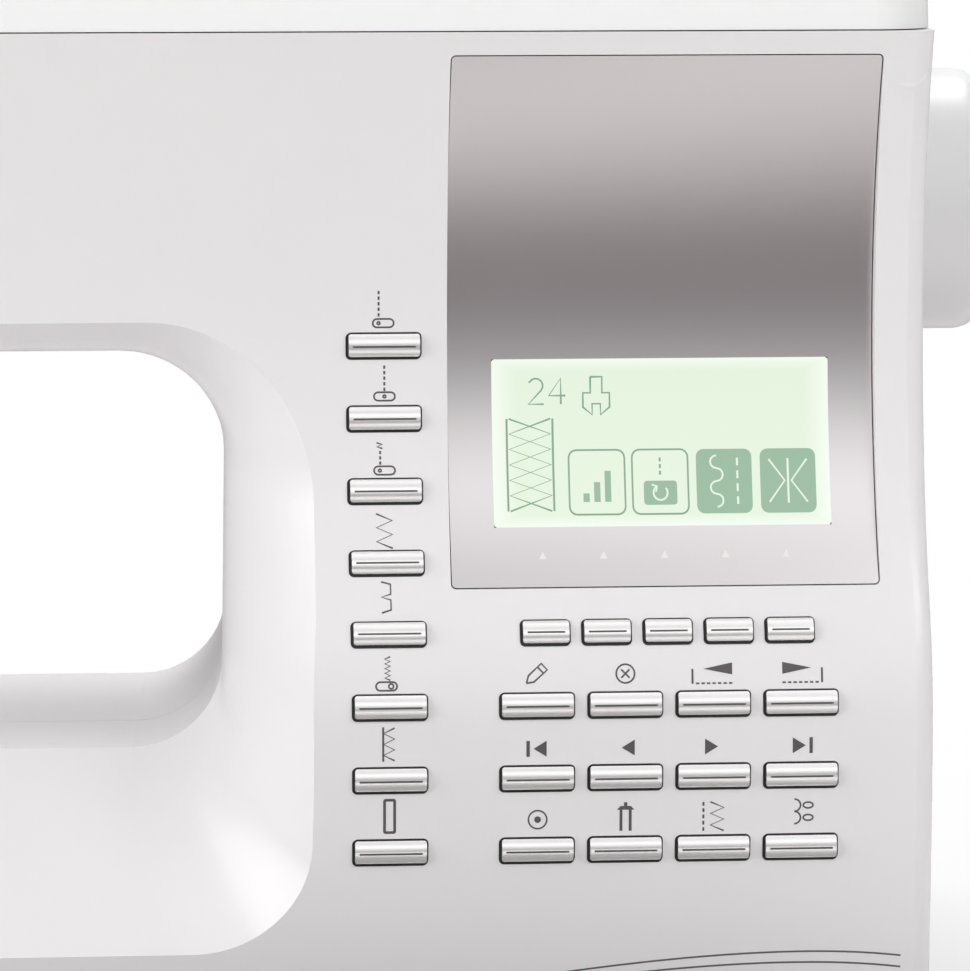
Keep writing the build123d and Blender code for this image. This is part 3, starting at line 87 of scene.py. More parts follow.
def moulded(name, colour, shade, roughness, grain, relief=0.0):
    """A moulded plastic: two close colours, and a grain of that size and relief in metres."""
    drift = 45 * MM
    gloss_change = 0.001
    finish = new_finish(name)
    place = add_node(finish, "ShaderNodeTexCoord").outputs["Object"]
    cloud = add_node(finish, "ShaderNodeTexNoise", {"Vector": place, "Scale": 1 / drift, "Detail": 2.0})
    tone = add_node(
        finish, "ShaderNodeMix",
        {0: cloud.outputs["Fac"], 6: srgb(colour), 7: srgb(shade)},
        data_type="RGBA",
    )
    speck = add_node(finish, "ShaderNodeTexNoise", {"Vector": place, "Scale": 1 / grain, "Detail": 3.0})
    gloss = add_node(
        finish, "ShaderNodeMapRange",
        {"Value": speck.outputs["Fac"], "From Min": 0.3, "From Max": 0.7,
         "To Min": roughness - gloss_change, "To Max": roughness + gloss_change},
    )
    shader = add_node(
        finish, "ShaderNodeBsdfPrincipled",
        {"Base Color": tone.outputs[2], "Roughness": gloss.outputs["Result"], "IOR": 1.53},
    )
    if relief:
        normal = add_node(
            finish, "ShaderNodeBump",
            {"Height": speck.outputs["Fac"], "Strength": 1.0, "Distance": relief},
        )
        finish.node_tree.links.new(normal.outputs["Normal"], shader.inputs["Normal"])
    return close_finish(finish, shader)


def paint(finish, *names):
    """Gives a finish to CAD nodes, in place of the plain one that they came with."""
    for name in names:
        nodes[name].data.materials.clear()
        nodes[name].data.materials.append(finish)


white_abs = moulded("white_abs_polished_mould", "EFEDEE", "EDEBEC", 0.27, 0.012)
paint(white_abs, "front_cover", "rear_cover", "extension_table")

# ------------------------------------------------------------------ lid
# The lid over the spools is the same ABS in a brighter white with a higher gloss,
# hinged along its rear edge. Its rim lies on the deck with a fine open seam.

lid_abs = moulded("lid_abs_high_gloss", "F5F5F5", "F3F3F3", 0.2, 0.012)
paint(lid_abs, "top_lid")

# ------------------------------------------------------------------ plain inner and lower parts
# Base tray, spool pin, levers, switch and inlet are moulded engineering plastics, feet and
# belts are moulded rubber. They are screwed, clipped or pressed into the casing.

# Polypropylene from a spark-eroded mould: mid grey, dull, with a fine even grain.
tray_plastic = moulded("tray_grey_polypropylene", "8A8A8C", "848487", 0.5, 0.0008, 0.00002)
paint(tray_plastic, "base_tray", "spool_pin")
# Polyamide with a fine texture: near black, with a broad weak sheen.
black_plastic = moulded("black_polyamide_fine_texture", "1F1F21", "242427", 0.45, 0.0006, 0.00002)
paint(black_plastic, "presser_lifter", "bobbin_winder", "power_switch", "power_inlet")
# Moulded rubber: black and almost without shine.
foot_rubber = moulded("black_foot_rubber", "18181A", "1E1E20", 0.75, 0.0008, 0.00003)
paint(foot_rubber, "rubber_feet", "drive_belts")
# ABS a shade greyer than the covers, smooth, with a soft highlight on its rounded rim.
wheel_abs = moulded("light_grey_abs_wheel", "E4E4E5", "E2E2E3", 0.3, 0.004)
paint(wheel_abs, "handwheel", "tension_dial")

# ------------------------------------------------------------------ bright metal parts
# Needle bar, presser bar, foot, take-up lever, hook and screws are nickel-plated steel,
# polished. Shafts, pulleys, needle plate and feed dogs are ground, with lines of the wheel.


def metal(name, colour, roughness, streak, relief, along, metallic=1.0, spread=0.2):
    """Bare, plated or lacquered metal with fine working lines along one axis, streak metres apart."""
    line_length = 60 * streak
    finish = new_finish(name)
    place = add_node(finish, "ShaderNodeTexCoord").outputs["Object"]
    stretch = [1 / streak] * 3
    stretch[along] = 1 / line_length
    lines = add_node(finish, "ShaderNodeMapping", {"Vector": place, "Scale": stretch})
    grain = add_node(
        finish, "ShaderNodeTexNoise", {"Vector": lines.outputs["Vector"], "Scale": 1.0, "Detail": 3.0}
    )
    gloss = add_node(
        finish, "ShaderNodeMapRange",
        {"Value": grain.outputs["Fac"], "From Min": 0.3, "From Max": 0.7,
         "To Min": roughness * (1 - spread), "To Max": roughness * (1 + spread)},
    )
    normal = add_node(
        finish, "ShaderNodeBump", {"Height": grain.outputs["Fac"], "Strength": 1.0, "Distance": relief}
    )
    shader = add_node(
        finish, "ShaderNodeBsdfPrincipled",
        {"Base Color": srgb(colour), "Metallic": metallic, "Roughness": gloss.outputs["Result"],
         "Normal": normal.outputs["Normal"]},
    )
    return close_finish(finish, shader)


# Polished nickel: warm white, with near-mirror reflections drawn out along the bars.
nickel = metal("nickel_plate_polished", "D4D3D0", 0.14, 0.0004, 0.000002, 2)
paint(nickel, "needle_bar", "needle", "presser_bar", "presser_foot", "take_up_lever", "rotary_hook",
      "cover_screws")
# Ground steel: grey, with highlights spread across the lines of the wheel.
ground_steel = metal("ground_steel", "BDBDBD", 0.3, 0.0003, 0.000006, 0)
paint(ground_steel, "main_shaft", "motor_pulley", "lower_shaft", "motor", "needle_plate", "feed_dogs")
# Sand-rough cast aluminium: dull light grey with a coarse skin.
cast_aluminium = metal("cast_aluminium", "A9AAAB", 0.5, 0.0012, 0.00006, 0)
paint(cast_aluminium, "frame_casting")
# Clear polycarbonate with a faint blue cast, glossy: it reads as a pale glassy lid.
clear_plastic = moulded("clear_plastic", "DDE6EA", "DBE4E8", 0.1, 0.001, 0.000002)
paint(clear_plastic, "bobbin_cover", "bobbin")

# ------------------------------------------------------------------ display panel
# A thin hollowed panel in satin silver lacquer over ABS, brushed across before it was
# coated, so it shines in a band that follows the hollow.

# The brushed lines are finer than the eye parts at this distance, so they only soften the band.
panel_silver = metal(
    "silver_lacquer_brushed_across", "DCD8D9", 0.28, 0.00015, 0.00000001, 0, spread=0.02
)
paint(panel_silver, "display_panel")
# Epoxy board under green solder resist: dark green with a soft gloss.
board = moulded("circuit_board_green", "1E5A34", "1B5230", 0.35, 0.002, 0.00001)
paint(board, "display_module")

# ------------------------------------------------------------------ screen
# A backlit liquid crystal screen behind the window of the panel: pale green light with
# darker green segments. The picture is a plain one: a number, a stitch, a foot and four icons.

window_zone_x = (76 * MM, 168 * MM)     # the panel has no other corners in this zone
window_zone_z = (126 * MM, 170 * MM)
window = [
    v.co for v in nodes["display_panel"].data.vertices
    if window_zone_x[0] < v.co.x < window_zone_x[1] and window_zone_z[0] < v.co.z < window_zone_z[1]
]
screen_left = min(co.x for co in window)
screen_right = max(co.x for co in window)
screen_low = min(co.z for co in window)
screen_high = max(co.z for co in window)
screen_middle = Vector(((screen_left + screen_right) / 2, 0, (screen_low + screen_high) / 2))
screen_depth = 0.4 * MM
screen_sink = 0.3 * MM
ahead = -0.3                            # Y of a place in front of the whole machine


def new_piece(name, shape, finish, body):
    """Makes a bmesh a piece of the machine, with its finish, on the body that it moves with."""
    mesh = bpy.data.meshes.new(name)
    shape.to_mesh(mesh)
    shape.free()
    mesh.materials.append(finish)
    piece = bpy.data.objects.new(name, mesh)
    bpy.context.scene.collection.objects.link(piece)
    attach(piece, body)
    return piece


def thicken(shape, faces, offset):
    """Extrudes faces by an offset and leaves a closed solid."""
    grown = bmesh.ops.extrude_face_region(shape, geom=faces, use_keep_orig=True)["geom"]
    moved = [part for part in grown if isinstance(part, bmesh.types.BMVert)]
    bmesh.ops.translate(shape, verts=moved, vec=offset)
    bmesh.ops.recalc_face_normals(shape, faces=shape.faces[:])


def add_shape(whole, shape):
    """Adds a bmesh to another one and frees it."""
    part = bpy.data.meshes.new("part")
    shape.to_mesh(part)
    shape.free()
    whole.from_mesh(part)
    bpy.data.meshes.remove(part)


def surface_of(piece):
    """A search tree of a piece, to lay prints on it."""
    return BVHTree.FromObject(piece, bpy.context.evaluated_depsgraph_get())


def glow(name, colour, rim_colour, strength):
    """A lit liquid crystal layer, a little paler towards the rim of the window."""
    finish = new_finish(name)
    place = add_node(finish, "ShaderNodeTexCoord").outputs["Object"]
    half = ((screen_right - screen_left) / 2, 1.0, (screen_high - screen_low) / 2)
    centred = add_node(finish, "ShaderNodeMapping", {"Vector": place, "Location": -screen_middle})
    share = add_node(
        finish, "ShaderNodeVectorMath",
        {0: centred.outputs["Vector"], 1: (1 / half[0], 0.0, 1 / half[2])}, operation="MULTIPLY",
    )
    sides = add_node(finish, "ShaderNodeSeparateXYZ", {0: share.outputs["Vector"]})
    across = add_node(finish, "ShaderNodeMath", {0: sides.outputs["X"]}, operation="ABSOLUTE")
    upright = add_node(finish, "ShaderNodeMath", {0: sides.outputs["Z"]}, operation="ABSOLUTE")
    edge = add_node(
        finish, "ShaderNodeMath", {0: across.outputs[0], 1: upright.outputs[0]}, operation="MAXIMUM"
    )
    rim = add_node(
        finish, "ShaderNodeMapRange", {"Value": edge.outputs[0], "From Min": 0.85, "From Max": 1.0}
    )
    light = add_node(
        finish, "ShaderNodeMix",
        {0: rim.outputs["Result"], 6: srgb(colour), 7: srgb(rim_colour)}, data_type="RGBA",
    )
    shader = add_node(
        finish, "ShaderNodeBsdfPrincipled",
        {"Base Color": (0.02, 0.02, 0.02, 1), "Roughness": 0.35, "Emission Color": light.outputs[2],
         "Emission Strength": strength, "IOR": 1.5},
    )
    return close_finish(finish, shader)


lit_green = glow("screen_backlight_pale_green", "E5F3DE", "F5FCF2", 0.96)
panel_tree = surface_of(nodes["display_panel"])
plate = bmesh.new()
bmesh.ops.create_grid(plate, x_segments=1, y_segments=20, size=0.5)
bmesh.ops.rotate(plate, verts=plate.verts[:], matrix=Matrix.Rotation(math.radians(90), 3, "X"))
bmesh.ops.scale(
    plate, verts=plate.verts[:], vec=(screen_right - screen_left, 1, screen_high - screen_low)
)
bmesh.ops.translate(plate, verts=plate.verts[:], vec=screen_middle)
corners = [v for v in plate.verts if len(v.link_edges) == 2]
bmesh.ops.bevel(plate, geom=corners, affect="VERTICES", offset=0.8 * MM, segments=4, profile=0.5,
                material=-1)
beside = screen_left - 1.0 * MM
for v in plate.verts:
    height = min(max(v.co.z, screen_low + 0.1 * MM), screen_high - 0.1 * MM)
    v.co.y = panel_tree.ray_cast(Vector((beside, ahead, height)), Vector((0, 1, 0)))[0].y + screen_sink
thicken(plate, plate.faces[:], (0, -screen_depth, 0))
screen = new_piece("screen_picture_layer", plate, lit_green, "root")


def printed(name, strokes, spots, surface, lift, finish):
    """Ink laid on a surface that faces the user. A stroke is its width and its points, a spot
    is its outline, and each point is an X and a height in metres."""
    ink_depth = 0.04 * MM
    flatness = 0.12
    line = bpy.data.curves.new(name, "CURVE")
    line.dimensions = "3D"
    line.bevel_depth = 1.0
    line.bevel_resolution = 1
    line.use_fill_caps = True
    for width, points in strokes:
        run = line.splines.new("POLY")
        run.points.add(len(points) - 1)
        for point, (x, z) in zip(run.points, points):
            point.co = (x, 0, z, 1)
            point.radius = width / 2
    drawn = bpy.data.objects.new(name, line)
    tubes = bpy.data.meshes.new_from_object(drawn)
    shape = bmesh.new()
    shape.from_mesh(tubes)
    bpy.data.objects.remove(drawn)
    bmesh.ops.scale(shape, vec=(1, flatness, 1), verts=shape.verts[:])
    for outline in spots:
        blot = shape.faces.new([shape.verts.new((x, 0, z)) for x, z in outline])
        thicken(shape, [blot], (0, -ink_depth, 0))
    heights = [v.co.z for v in shape.verts]
    step = 1.0 * MM
    for index in range(1, int((max(heights) - min(heights)) / step) + 1):
        bmesh.ops.bisect_plane(
            shape, geom=shape.verts[:] + shape.edges[:] + shape.faces[:],
            plane_co=(0, 0, min(heights) + index * step), plane_no=(0, 0, 1),
        )
    for v in shape.verts:
        hit = surface.ray_cast(Vector((v.co.x, ahead, v.co.z)), Vector((0, 1, 0)))[0]
        v.co.y += hit.y - lift
    return new_piece(name, shape, finish, "root")


def dashes(start, end, count, filled=0.6):
    """The short runs of a broken line, from start to end."""
    a, b = Vector(start), Vector(end)
    step = (b - a) / (count - 1 + filled)
    return [[tuple(a + step * n), tuple(a + step * (n + filled))] for n in range(count)]


def arc(centre, radius, start, end, points=10, squash=1.0):
    """Points of an arc between two angles in degrees, flattened upright by squash."""
    turns = [math.radians(start + (end - start) * n / (points - 1)) for n in range(points)]
    return [
        (centre[0] + radius * math.cos(turn), centre[1] + radius * squash * math.sin(turn))
        for turn in turns
    ]


def rounded_box(x, z, width, height, radius):
    """The outline of a box with rounded corners, round its middle."""
    points = []
    for corner, (side, level) in enumerate(((1, 1), (-1, 1), (-1, -1), (1, -1))):
        middle = (x + side * (width / 2 - radius), z + level * (height / 2 - radius))
        points += arc(middle, radius, 90 * corner, 90 * corner + 90, 5)
    return points


def zigzag(x, z, width, pitch, count):
    """A zigzag that runs down from x, z."""
    return [(x + width / 2 * (-1) ** n, z - pitch * n) for n in range(count + 1)]


def on_screen(points):
    """Points in millimetres from the middle of the screen, as places on it."""
    return [(screen_middle.x + u * MM, screen_middle.z + v * MM) for u, v in points]


screen_ink = glow("screen_segments_green", "9FC3A5", "9FC3A5", 0.85)
screen_line = glow("screen_segments_grey_green", "8FB298", "8FB298", 0.8)
fine_line = 0.5 * MM
digit_two = [(-31.6, 14.2), *arc((-29.9, 13.4), 1.7, 150, -40, 8), (-31.7, 9.0), (-28.0, 9.0)]
digit_four = [(-23.9, 9.0), (-23.9, 15.1), (-26.8, 11.0), (-22.8, 11.0)]
foot_icon = [(-16.8, 15.4), (-16.8, 11.6), (-18.6, 11.6), (-18.6, 8.2), (-16.4, 6.4), (-16.4, 9.0),
             (-14.4, 9.0), (-14.4, 6.4), (-12.2, 8.2), (-12.2, 11.6), (-14.0, 11.6), (-14.0, 15.4),
             (-16.8, 15.4)]
stitch_rows = [zigzag(-31.5, 5.6, side * 10.0, 3.6, 6) for side in (1, -1)]
icon_columns = (-15.6, -0.4, 15.0, 30.4)
icon_height = -9.4
screen_strokes = [digit_two, digit_four, foot_icon, *stitch_rows, [(-37.0, 5.6), (-37.0, -16.0)],
                  [(-26.0, 5.6), (-26.0, -16.0)]]
for column in icon_columns[:2]:
    frame_line = rounded_box(column, icon_height, 13.4, 15.0, 1.8)
    screen_strokes.append(frame_line + frame_line[:1])
bars = [(icon_columns[0] + 2.6 * n, icon_height - 4.6, 1.5, 2.0 + 2.6 * (n + 1)) for n in (-1, 0, 1)]
icon_spots = [rounded_box(column, icon_height, 13.4, 15.0, 1.8) for column in icon_columns[2:]]
bar_spots = [
    [(x - w / 2, z), (x + w / 2, z), (x + w / 2, z + h), (x - w / 2, z + h)] for x, z, w, h in bars
]
repeat_box = rounded_box(icon_columns[1], icon_height - 2.6, 8.0, 5.6, 0.8)
screen_strokes += dashes((icon_columns[1], icon_height + 5.6), (icon_columns[1], icon_height + 1.6), 3)
printed(
    "screen_segments", [(fine_line, on_screen(run)) for run in screen_strokes], [],
    surface_of(screen), 0.0, screen_line,
)
dark_icons = printed(
    "screen_icons", [], [on_screen(spot) for spot in icon_spots + bar_spots + [repeat_box]],
    surface_of(screen), 0.0, screen_ink,
)
wave = []
for n in range(4):
    level = icon_height + 4.5 - 3.0 * n
    wave += arc((icon_columns[2] - 1.8, level), 1.5, 90, -90 if n % 2 else 270, 7)
chevrons = [
    [(icon_columns[3] + side * 4.6, icon_height + 5.0), (icon_columns[3] + side * 0.8, icon_height),
     (icon_columns[3] + side * 4.6, icon_height - 5.0)]
    for side in (-1, 1)
]
crossing = [[(icon_columns[3], icon_height + 5.2), (icon_columns[3], icon_height - 5.2)]]
seam_x = icon_columns[2] + 3.2
again = (icon_columns[1], icon_height - 2.6)
pale_strokes = [wave, *chevrons, *crossing,
                *dashes((seam_x, icon_height + 5.4), (seam_x, icon_height - 5.4), 4),
                arc(again, 1.7, 120, 400, 14),
                [(again[0] - 2.1, again[1] + 1.9), (again[0] - 0.8, again[1] + 1.5),
                 (again[0] - 1.1, again[1] + 0.2)]]
screen_pale = glow("screen_unlit_strokes_pale", "E6F6E2", "E6F6E2", 0.95)
printed(
    "screen_icon_strokes", [(0.5 * MM, on_screen(run)) for run in pale_strokes], [],
    surface_of(dark_icons), 0.0, screen_pale,
)

# ------------------------------------------------------------------ push buttons
# Each cap is a half-round bar of ABS in bright silver lacquer, and moves in along the front's normal.
# Round each cap a black ring is painted shade of the gap in the cover, shifted wider at left and bottom
# as painted shadow.

# Bright lacquer over ABS: nearly white where it faces the light, grey on the slope below.
key_silver = metal(
    "key_silver_lacquer", "F8F6F6", 0.2, 0.0006, 0.0000001, 0, metallic=0.7, spread=0.05
)
key_names = sorted(name for name in nodes if "_button_" in name or "soft_key" in name)
head_key_names = ["start_stop_button", "reverse_button"]
paint(key_silver, *key_names, *head_key_names, "speed_slider")
cap_rise = 1.5 * MM
cap_side = 1.5 * MM


def cap_place(name):
    """The frame of a button: X across, Y up the front, Z outwards, with its origin at the front's
    surface in the middle of the cap, and the cap's width and height."""
    joint = next(joint for joint in frame["joints"] if joint["child"] == name)
    outward = -Vector(joint["axis"]).normalized()
    upward = outward.cross(Vector((1, 0, 0))).normalized()
    if upward.z < 0:
        upward.negate()
    corners = [v.co for v in nodes[name].data.vertices]
    crown = max(co.dot(outward) for co in corners)
    sides = [co for co in corners if co.dot(outward) > crown - cap_rise - cap_side]
    x = [co.x for co in sides]
    up = [co.dot(upward) for co in sides]
    origin = (
        Vector(((min(x) + max(x)) / 2, 0, 0)) + upward * (min(up) + max(up)) / 2
        + outward * (crown - cap_rise)
    )
    turn = Matrix((Vector((1, 0, 0)), upward, outward)).transposed().to_4x4()
    return Matrix.Translation(origin) @ turn, max(x) - min(x), max(up) - min(up)


def flat_bar(width, height, corner=0.0, segments=3):
    """A bar in the XY plane round the origin, one face thick, with its corners rounded."""
    bar = bmesh.new()
    bmesh.ops.create_grid(bar, x_segments=1, y_segments=1, size=0.5)
    bmesh.ops.scale(bar, vec=(width, height, 1), verts=bar.verts[:])
    if corner:
        bmesh.ops.bevel(bar, geom=bar.verts[:], affect="VERTICES", offset=corner, segments=segments,
                        profile=0.5, material=-1)
    return bar


surround_gap = 0.08 * MM
surround_width = 0.42 * MM
cast_shadow_shift = 0.2 * MM
surround_rise = 0.12 * MM
surround_depth = 0.3 * MM
surround_corner = 1.2 * MM
# Black and dull: painted shade of the gap round each key, so each key has a sharp dark edge.
gap_shade_black = moulded("key_gap_painted_shade_black", "080808", "0A0A0B", 0.65, 0.0008)
key_gap_shade = bmesh.new()
for name in key_names + head_key_names:
    place, width, height = cap_place(name)
    grow = 2 * (surround_gap + surround_width)
    ring = flat_bar(width + grow, height + grow, surround_corner, 5)
    hole = ring.faces[:]
    bmesh.ops.inset_region(
        ring, faces=hole, thickness=surround_width, use_even_offset=True, use_boundary=True
    )
    inner = list({v for face in hole for v in face.verts})
    # The hole is shifted so that the ring is wider at the left and bottom: painted shadow of the cap.
    bmesh.ops.translate(ring, verts=inner, vec=(cast_shadow_shift, cast_shadow_shift, 0))
    bmesh.ops.delete(ring, geom=hole, context="FACES")
    bmesh.ops.translate(
        ring, verts=ring.verts[:], vec=(-cast_shadow_shift, -cast_shadow_shift, surround_rise)
    )
    thicken(ring, ring.faces[:], (0, 0, -surround_depth))
    ring.transform(place)
    add_shape(key_gap_shade, ring)
new_piece("key_gap_painted_shade_rings", key_gap_shade, gap_shade_black, "root")

# ------------------------------------------------------------------ grooves of the caps
# The ridge of each cap has a fine groove along it. A dark grey strip lies in the groove as
# painted shade, so a sharp dark line runs between the bright and the grey slope.

# Dark grey colour of the strip: painted shade in the groove.
groove_painted_shade = moulded("groove_painted_shade_dark_grey", "4A4849", "4E4C4D", 0.5, 0.0008)
groove_drop = 0.27 * MM
groove_line = 0.45 * MM
groove_level = 1.51 * MM
groove_end = 1.05 * MM
groove_depth = 0.2 * MM
for name in key_names + head_key_names:
    place, width, height = cap_place(name)
    strip = flat_bar(width - 2 * groove_end, groove_line)
    bmesh.ops.translate(strip, verts=strip.verts[:], vec=(0, -groove_drop, groove_level))
    thicken(strip, strip.faces[:], (0, 0, -groove_depth))
    strip.transform(place)
    new_piece(name + "_groove_shade", strip, groove_painted_shade, name)

# ------------------------------------------------------------------ printed signs
# The signs over the buttons are pad-printed on the cover in one grey ink. They are the plain
# stitch and arrow signs that such machines share, and hold no words or letters.

front_surface = surface_of(nodes["front_cover"])
sign_line = 0.48 * MM
signs = []
blots = []


def sign(name, strokes=(), spots=(), width=sign_line):
    """Adds a sign above a button. Its points are millimetres across and up from the cap's middle."""
    place = cap_place(name)[0]
    origin = place.translation
    climb = place.col[1].z
    for run in strokes:
        signs.append((width, [(origin.x + u * MM, origin.z + v * MM * climb) for u, v in run]))
    for spot in spots:
        blots.append([(origin.x + u * MM, origin.z + v * MM * climb) for u, v in spot])


def buttonhole(x, z, eye_x, eye_radius=0.35, length=5.0, height=2.0):
    """A buttonhole, an outline with round ends, and the small ring of the needle's place in it."""
    outline = rounded_box(x, z, length, height, height / 2 - 0.01)
    return [outline + outline[:1], arc((eye_x, z), eye_radius, 0, 360, 8)]


sign("stitch_button_1", [*dashes((-1.3, 13.0), (-1.3, 6.9), 5), *buttonhole(-0.2, 5.3, -1.3)])
sign("stitch_button_2", [*dashes((0, 12.6), (0, 6.5), 5), *buttonhole(0, 5.2, 0)])
lock = [(-2.0, 11.6), (-0.7, 11.2), (-1.9, 10.6), (-0.6, 10.2)]
sign("stitch_button_3",
     [lock, *dashes((-1.2, 9.6), (-1.2, 6.3), 3), *buttonhole(-0.2, 4.9, -1.3)])
sign("stitch_button_4", [zigzag(-0.5, 12.0, -3.8, 1.7, 5)])
blanket = [(-1.6, 12.6), (0.6, 12.0), (0.6, 9.6), (-1.6, 8.9), (0.6, 8.2), (0.6, 5.8), (-1.6, 5.1)]
sign("stitch_button_5", [blanket])
sign("stitch_button_6", [zigzag(-0.6, 11.8, 1.3, 0.55, 10), *buttonhole(-0.9, 4.9, 0.2, 0.6)])
sign("stitch_button_7", [[(-1.8, 12.6), (-1.8, 4.4)], zigzag(-0.4, 12.4, 2.6, 1.3, 6)])
sign("stitch_button_8", [rounded_box(-0.3, 8.6, 2.4, 7.8, 0.3) + [(0.9, 12.2)]], width=0.75 * MM)

pencil = [(-2.6, 5.2), (-2.1, 7.0), (1.0, 9.8), (2.4, 8.3), (-0.8, 5.5), (-2.6, 5.2)]
sign("function_button_1", [pencil, [(0.1, 9.0), (1.5, 7.5)]])
clear = arc((0, 7.2), 2.2, 0, 360, 20)
sign("function_button_2", [clear, [(-1.0, 8.2), (1.0, 6.2)], [(1.0, 8.2), (-1.0, 6.2)]])
for name, side in (("function_button_3", 1), ("function_button_4", -1)):
    wedge = [(-2.4 * side, 8.1), (4.5 * side, 9.5), (4.5 * side, 6.7)]
    stop = [(-5.0 * side, 8.1), (-5.0 * side, 4.6)]
    sign(name, [stop, *dashes((-4.2 * side, 4.7), (4.5 * side, 4.7), 7)], [wedge])
for name, side, stop in (
    ("function_button_5", 1, True), ("function_button_6", 1, False),
    ("function_button_7", -1, False), ("function_button_8", -1, True),
):
    arrow = [(-1.0 * side, 7.0), (2.1 * side, 8.9), (2.1 * side, 5.1)]
    bar = [(-2.7 * side, 8.9), (-1.9 * side, 8.9), (-1.9 * side, 5.1), (-2.7 * side, 5.1)]
    sign(name, [], [arrow, bar] if stop else [arrow])
target = [arc((0, 7.3), 2.2, 0, 360, 22)]
sign("function_button_9", target, [arc((0, 7.3), 0.8, 0, 330, 12)], width=0.45 * MM)
twin = [[(side * 1.1, 10.2), (side * 1.1, 4.3)] for side in (-1, 1)]
sign("function_button_10", twin, [[(-2.1, 9.4), (2.1, 9.4), (1.2, 10.3), (-1.2, 10.3)],
     [(-0.4, 10.3), (0.4, 10.3), (0.4, 11.2), (-0.4, 11.2)]], width=0.7 * MM)
sign("function_button_11", [*dashes((-2.4, 11.0), (-2.4, 4.0), 5), zigzag(0.9, 11.0, -3.2, 1.4, 5)])
scallops = [arc((-1.6, 9.9 - 3.0 * n), 1.5, 90, -90, 9) for n in range(2)]
leaves = [arc((1.7, 9.9 - 3.0 * n), 1.2, 0, 360, 12, 0.6) for n in range(2)]
sign("function_button_12", scallops + leaves)

start = [(-3.6, 7.2), (-3.6, 4.0), (-0.8, 5.6)]
stop = [(0.8, 7.0), (3.6, 7.0), (3.6, 4.2), (0.8, 4.2)]
sign("start_stop_button", [], [start, stop])
turn_back = [(-2.2, 4.4), (1.0, 4.4), *arc((1.0, 5.7), 1.3, -90, 90, 9), (-1.4, 7.0)]
sign("reverse_button", [turn_back], [[(-2.9, 7.0), (-1.3, 7.9), (-1.3, 6.1)]], width=0.45 * MM)
thread_path = ((-133.5, 224.0, 206.0), (-151.5, 194.0, 212.0))   # beside the take-up slot
barb_width, barb_length = 1.6, 2.8
for x, tail, tip in thread_path:
    barb = tip + math.copysign(barb_length, tail - tip)
    for run in ([(x, tail), (x, tip)], [(x - barb_width, barb), (x, tip), (x + barb_width, barb)]):
        signs.append((sign_line, [(u * MM, z * MM) for u, z in run]))
print_lift = 0.02 * MM
sign_ink = moulded("pad_print_ink_grey", "544F51", "585355", 0.45, 0.0005, 0.0000005)
printed("button_signs", signs, blots, front_surface, print_lift, sign_ink)

# ------------------------------------------------------------------ trim lines and screen pointers
# Two fine grey lines sweep across the foot of the pillar, printed like the signs. Five
# pale triangles on the panel point from the screen to the keys below it.


def sweep(start, middle, end, points=24):
    """Points of a shallow curve through three places."""
    run = []
    for n in range(points):
        t = n / (points - 1)
        weights = ((1 - t) * (1 - 2 * t), 4 * t * (1 - t), t * (2 * t - 1))
        run.append(tuple(
            sum(w * place[axis] for w, place in zip(weights, (start, middle, end))) * MM
            for axis in (0, 1)
        ))
    return run


trim_width = 0.5 * MM
trim = [(trim_width, sweep((70.0, 19.6), (133.0, 26.9), (177.8, 26.2))),
        (trim_width, sweep((70.0, 17.6), (133.0, 24.4), (177.8, 23.4)))]
trim_ink = moulded("trim_line_ink_dark_grey", "58595A", "5C5D5E", 0.4, 0.0005, 0.0000005)
printed("trim_lines", trim, [], front_surface, print_lift, trim_ink)
soft_keys = [cap_place(name)[0].translation.x for name in key_names if "soft_key" in name]
pointer_half = 0.9 * MM
pointer_low, pointer_high = 121.5 * MM, 123.2 * MM
pointers = [
    [(x - pointer_half, pointer_low), (x + pointer_half, pointer_low), (x, pointer_high)]
    for x in soft_keys
]
pointer_ink = moulded("pointer_ink_pale", "F2EEEE", "EFEBEB", 0.4, 0.0005, 0.0000005)
printed("screen_pointers", [], pointers, panel_tree, print_lift, pointer_ink)

# ------------------------------------------------------------------ marks of the needle plate
# Seam guides to the right of the needle, rolled into the ground steel plate and filled with
# black: one line for every 5 mm from 15 to 30 mm, each with its number towards the user.


def laid_on(surface, start, aim, upward):
    """The frame of the spot that a ray meets: X across, Y upward, Z out of the surface."""
    spot, normal = surface.ray_cast(Vector(start), Vector(aim))[:2]
    if normal.dot(Vector(aim)) > 0:
        normal.negate()
    across = Vector(upward).cross(normal).normalized()
    turn = Matrix((across, normal.cross(across), normal)).transposed().to_4x4()
    return Matrix.Translation(spot) @ turn


def figure(text, size):
    """Plain figures as a flat mesh, centred on the origin."""
    line = bpy.data.curves.new("figure", "FONT")
    line.body = text
    line.size = size
    line.align_x = "CENTER"
    line.align_y = "CENTER"
    written = bpy.data.objects.new("figure", line)
    flat = bpy.data.meshes.new_from_object(written)
    shape = bmesh.new()
    shape.from_mesh(flat)
    bpy.data.objects.remove(written)
    bmesh.ops.remove_doubles(shape, verts=shape.verts[:], dist=0.01 * MM)
    return shape


def joined(shapes, mark_depth=0.04):
    """One bmesh of several flat marks, each thickened before it is placed by its matrix."""
    whole = bmesh.new()
    for shape, place in shapes:
        thicken(shape, shape.faces[:], (0, 0, mark_depth * MM))
        shape.transform(place)
        add_shape(whole, shape)
    return whole


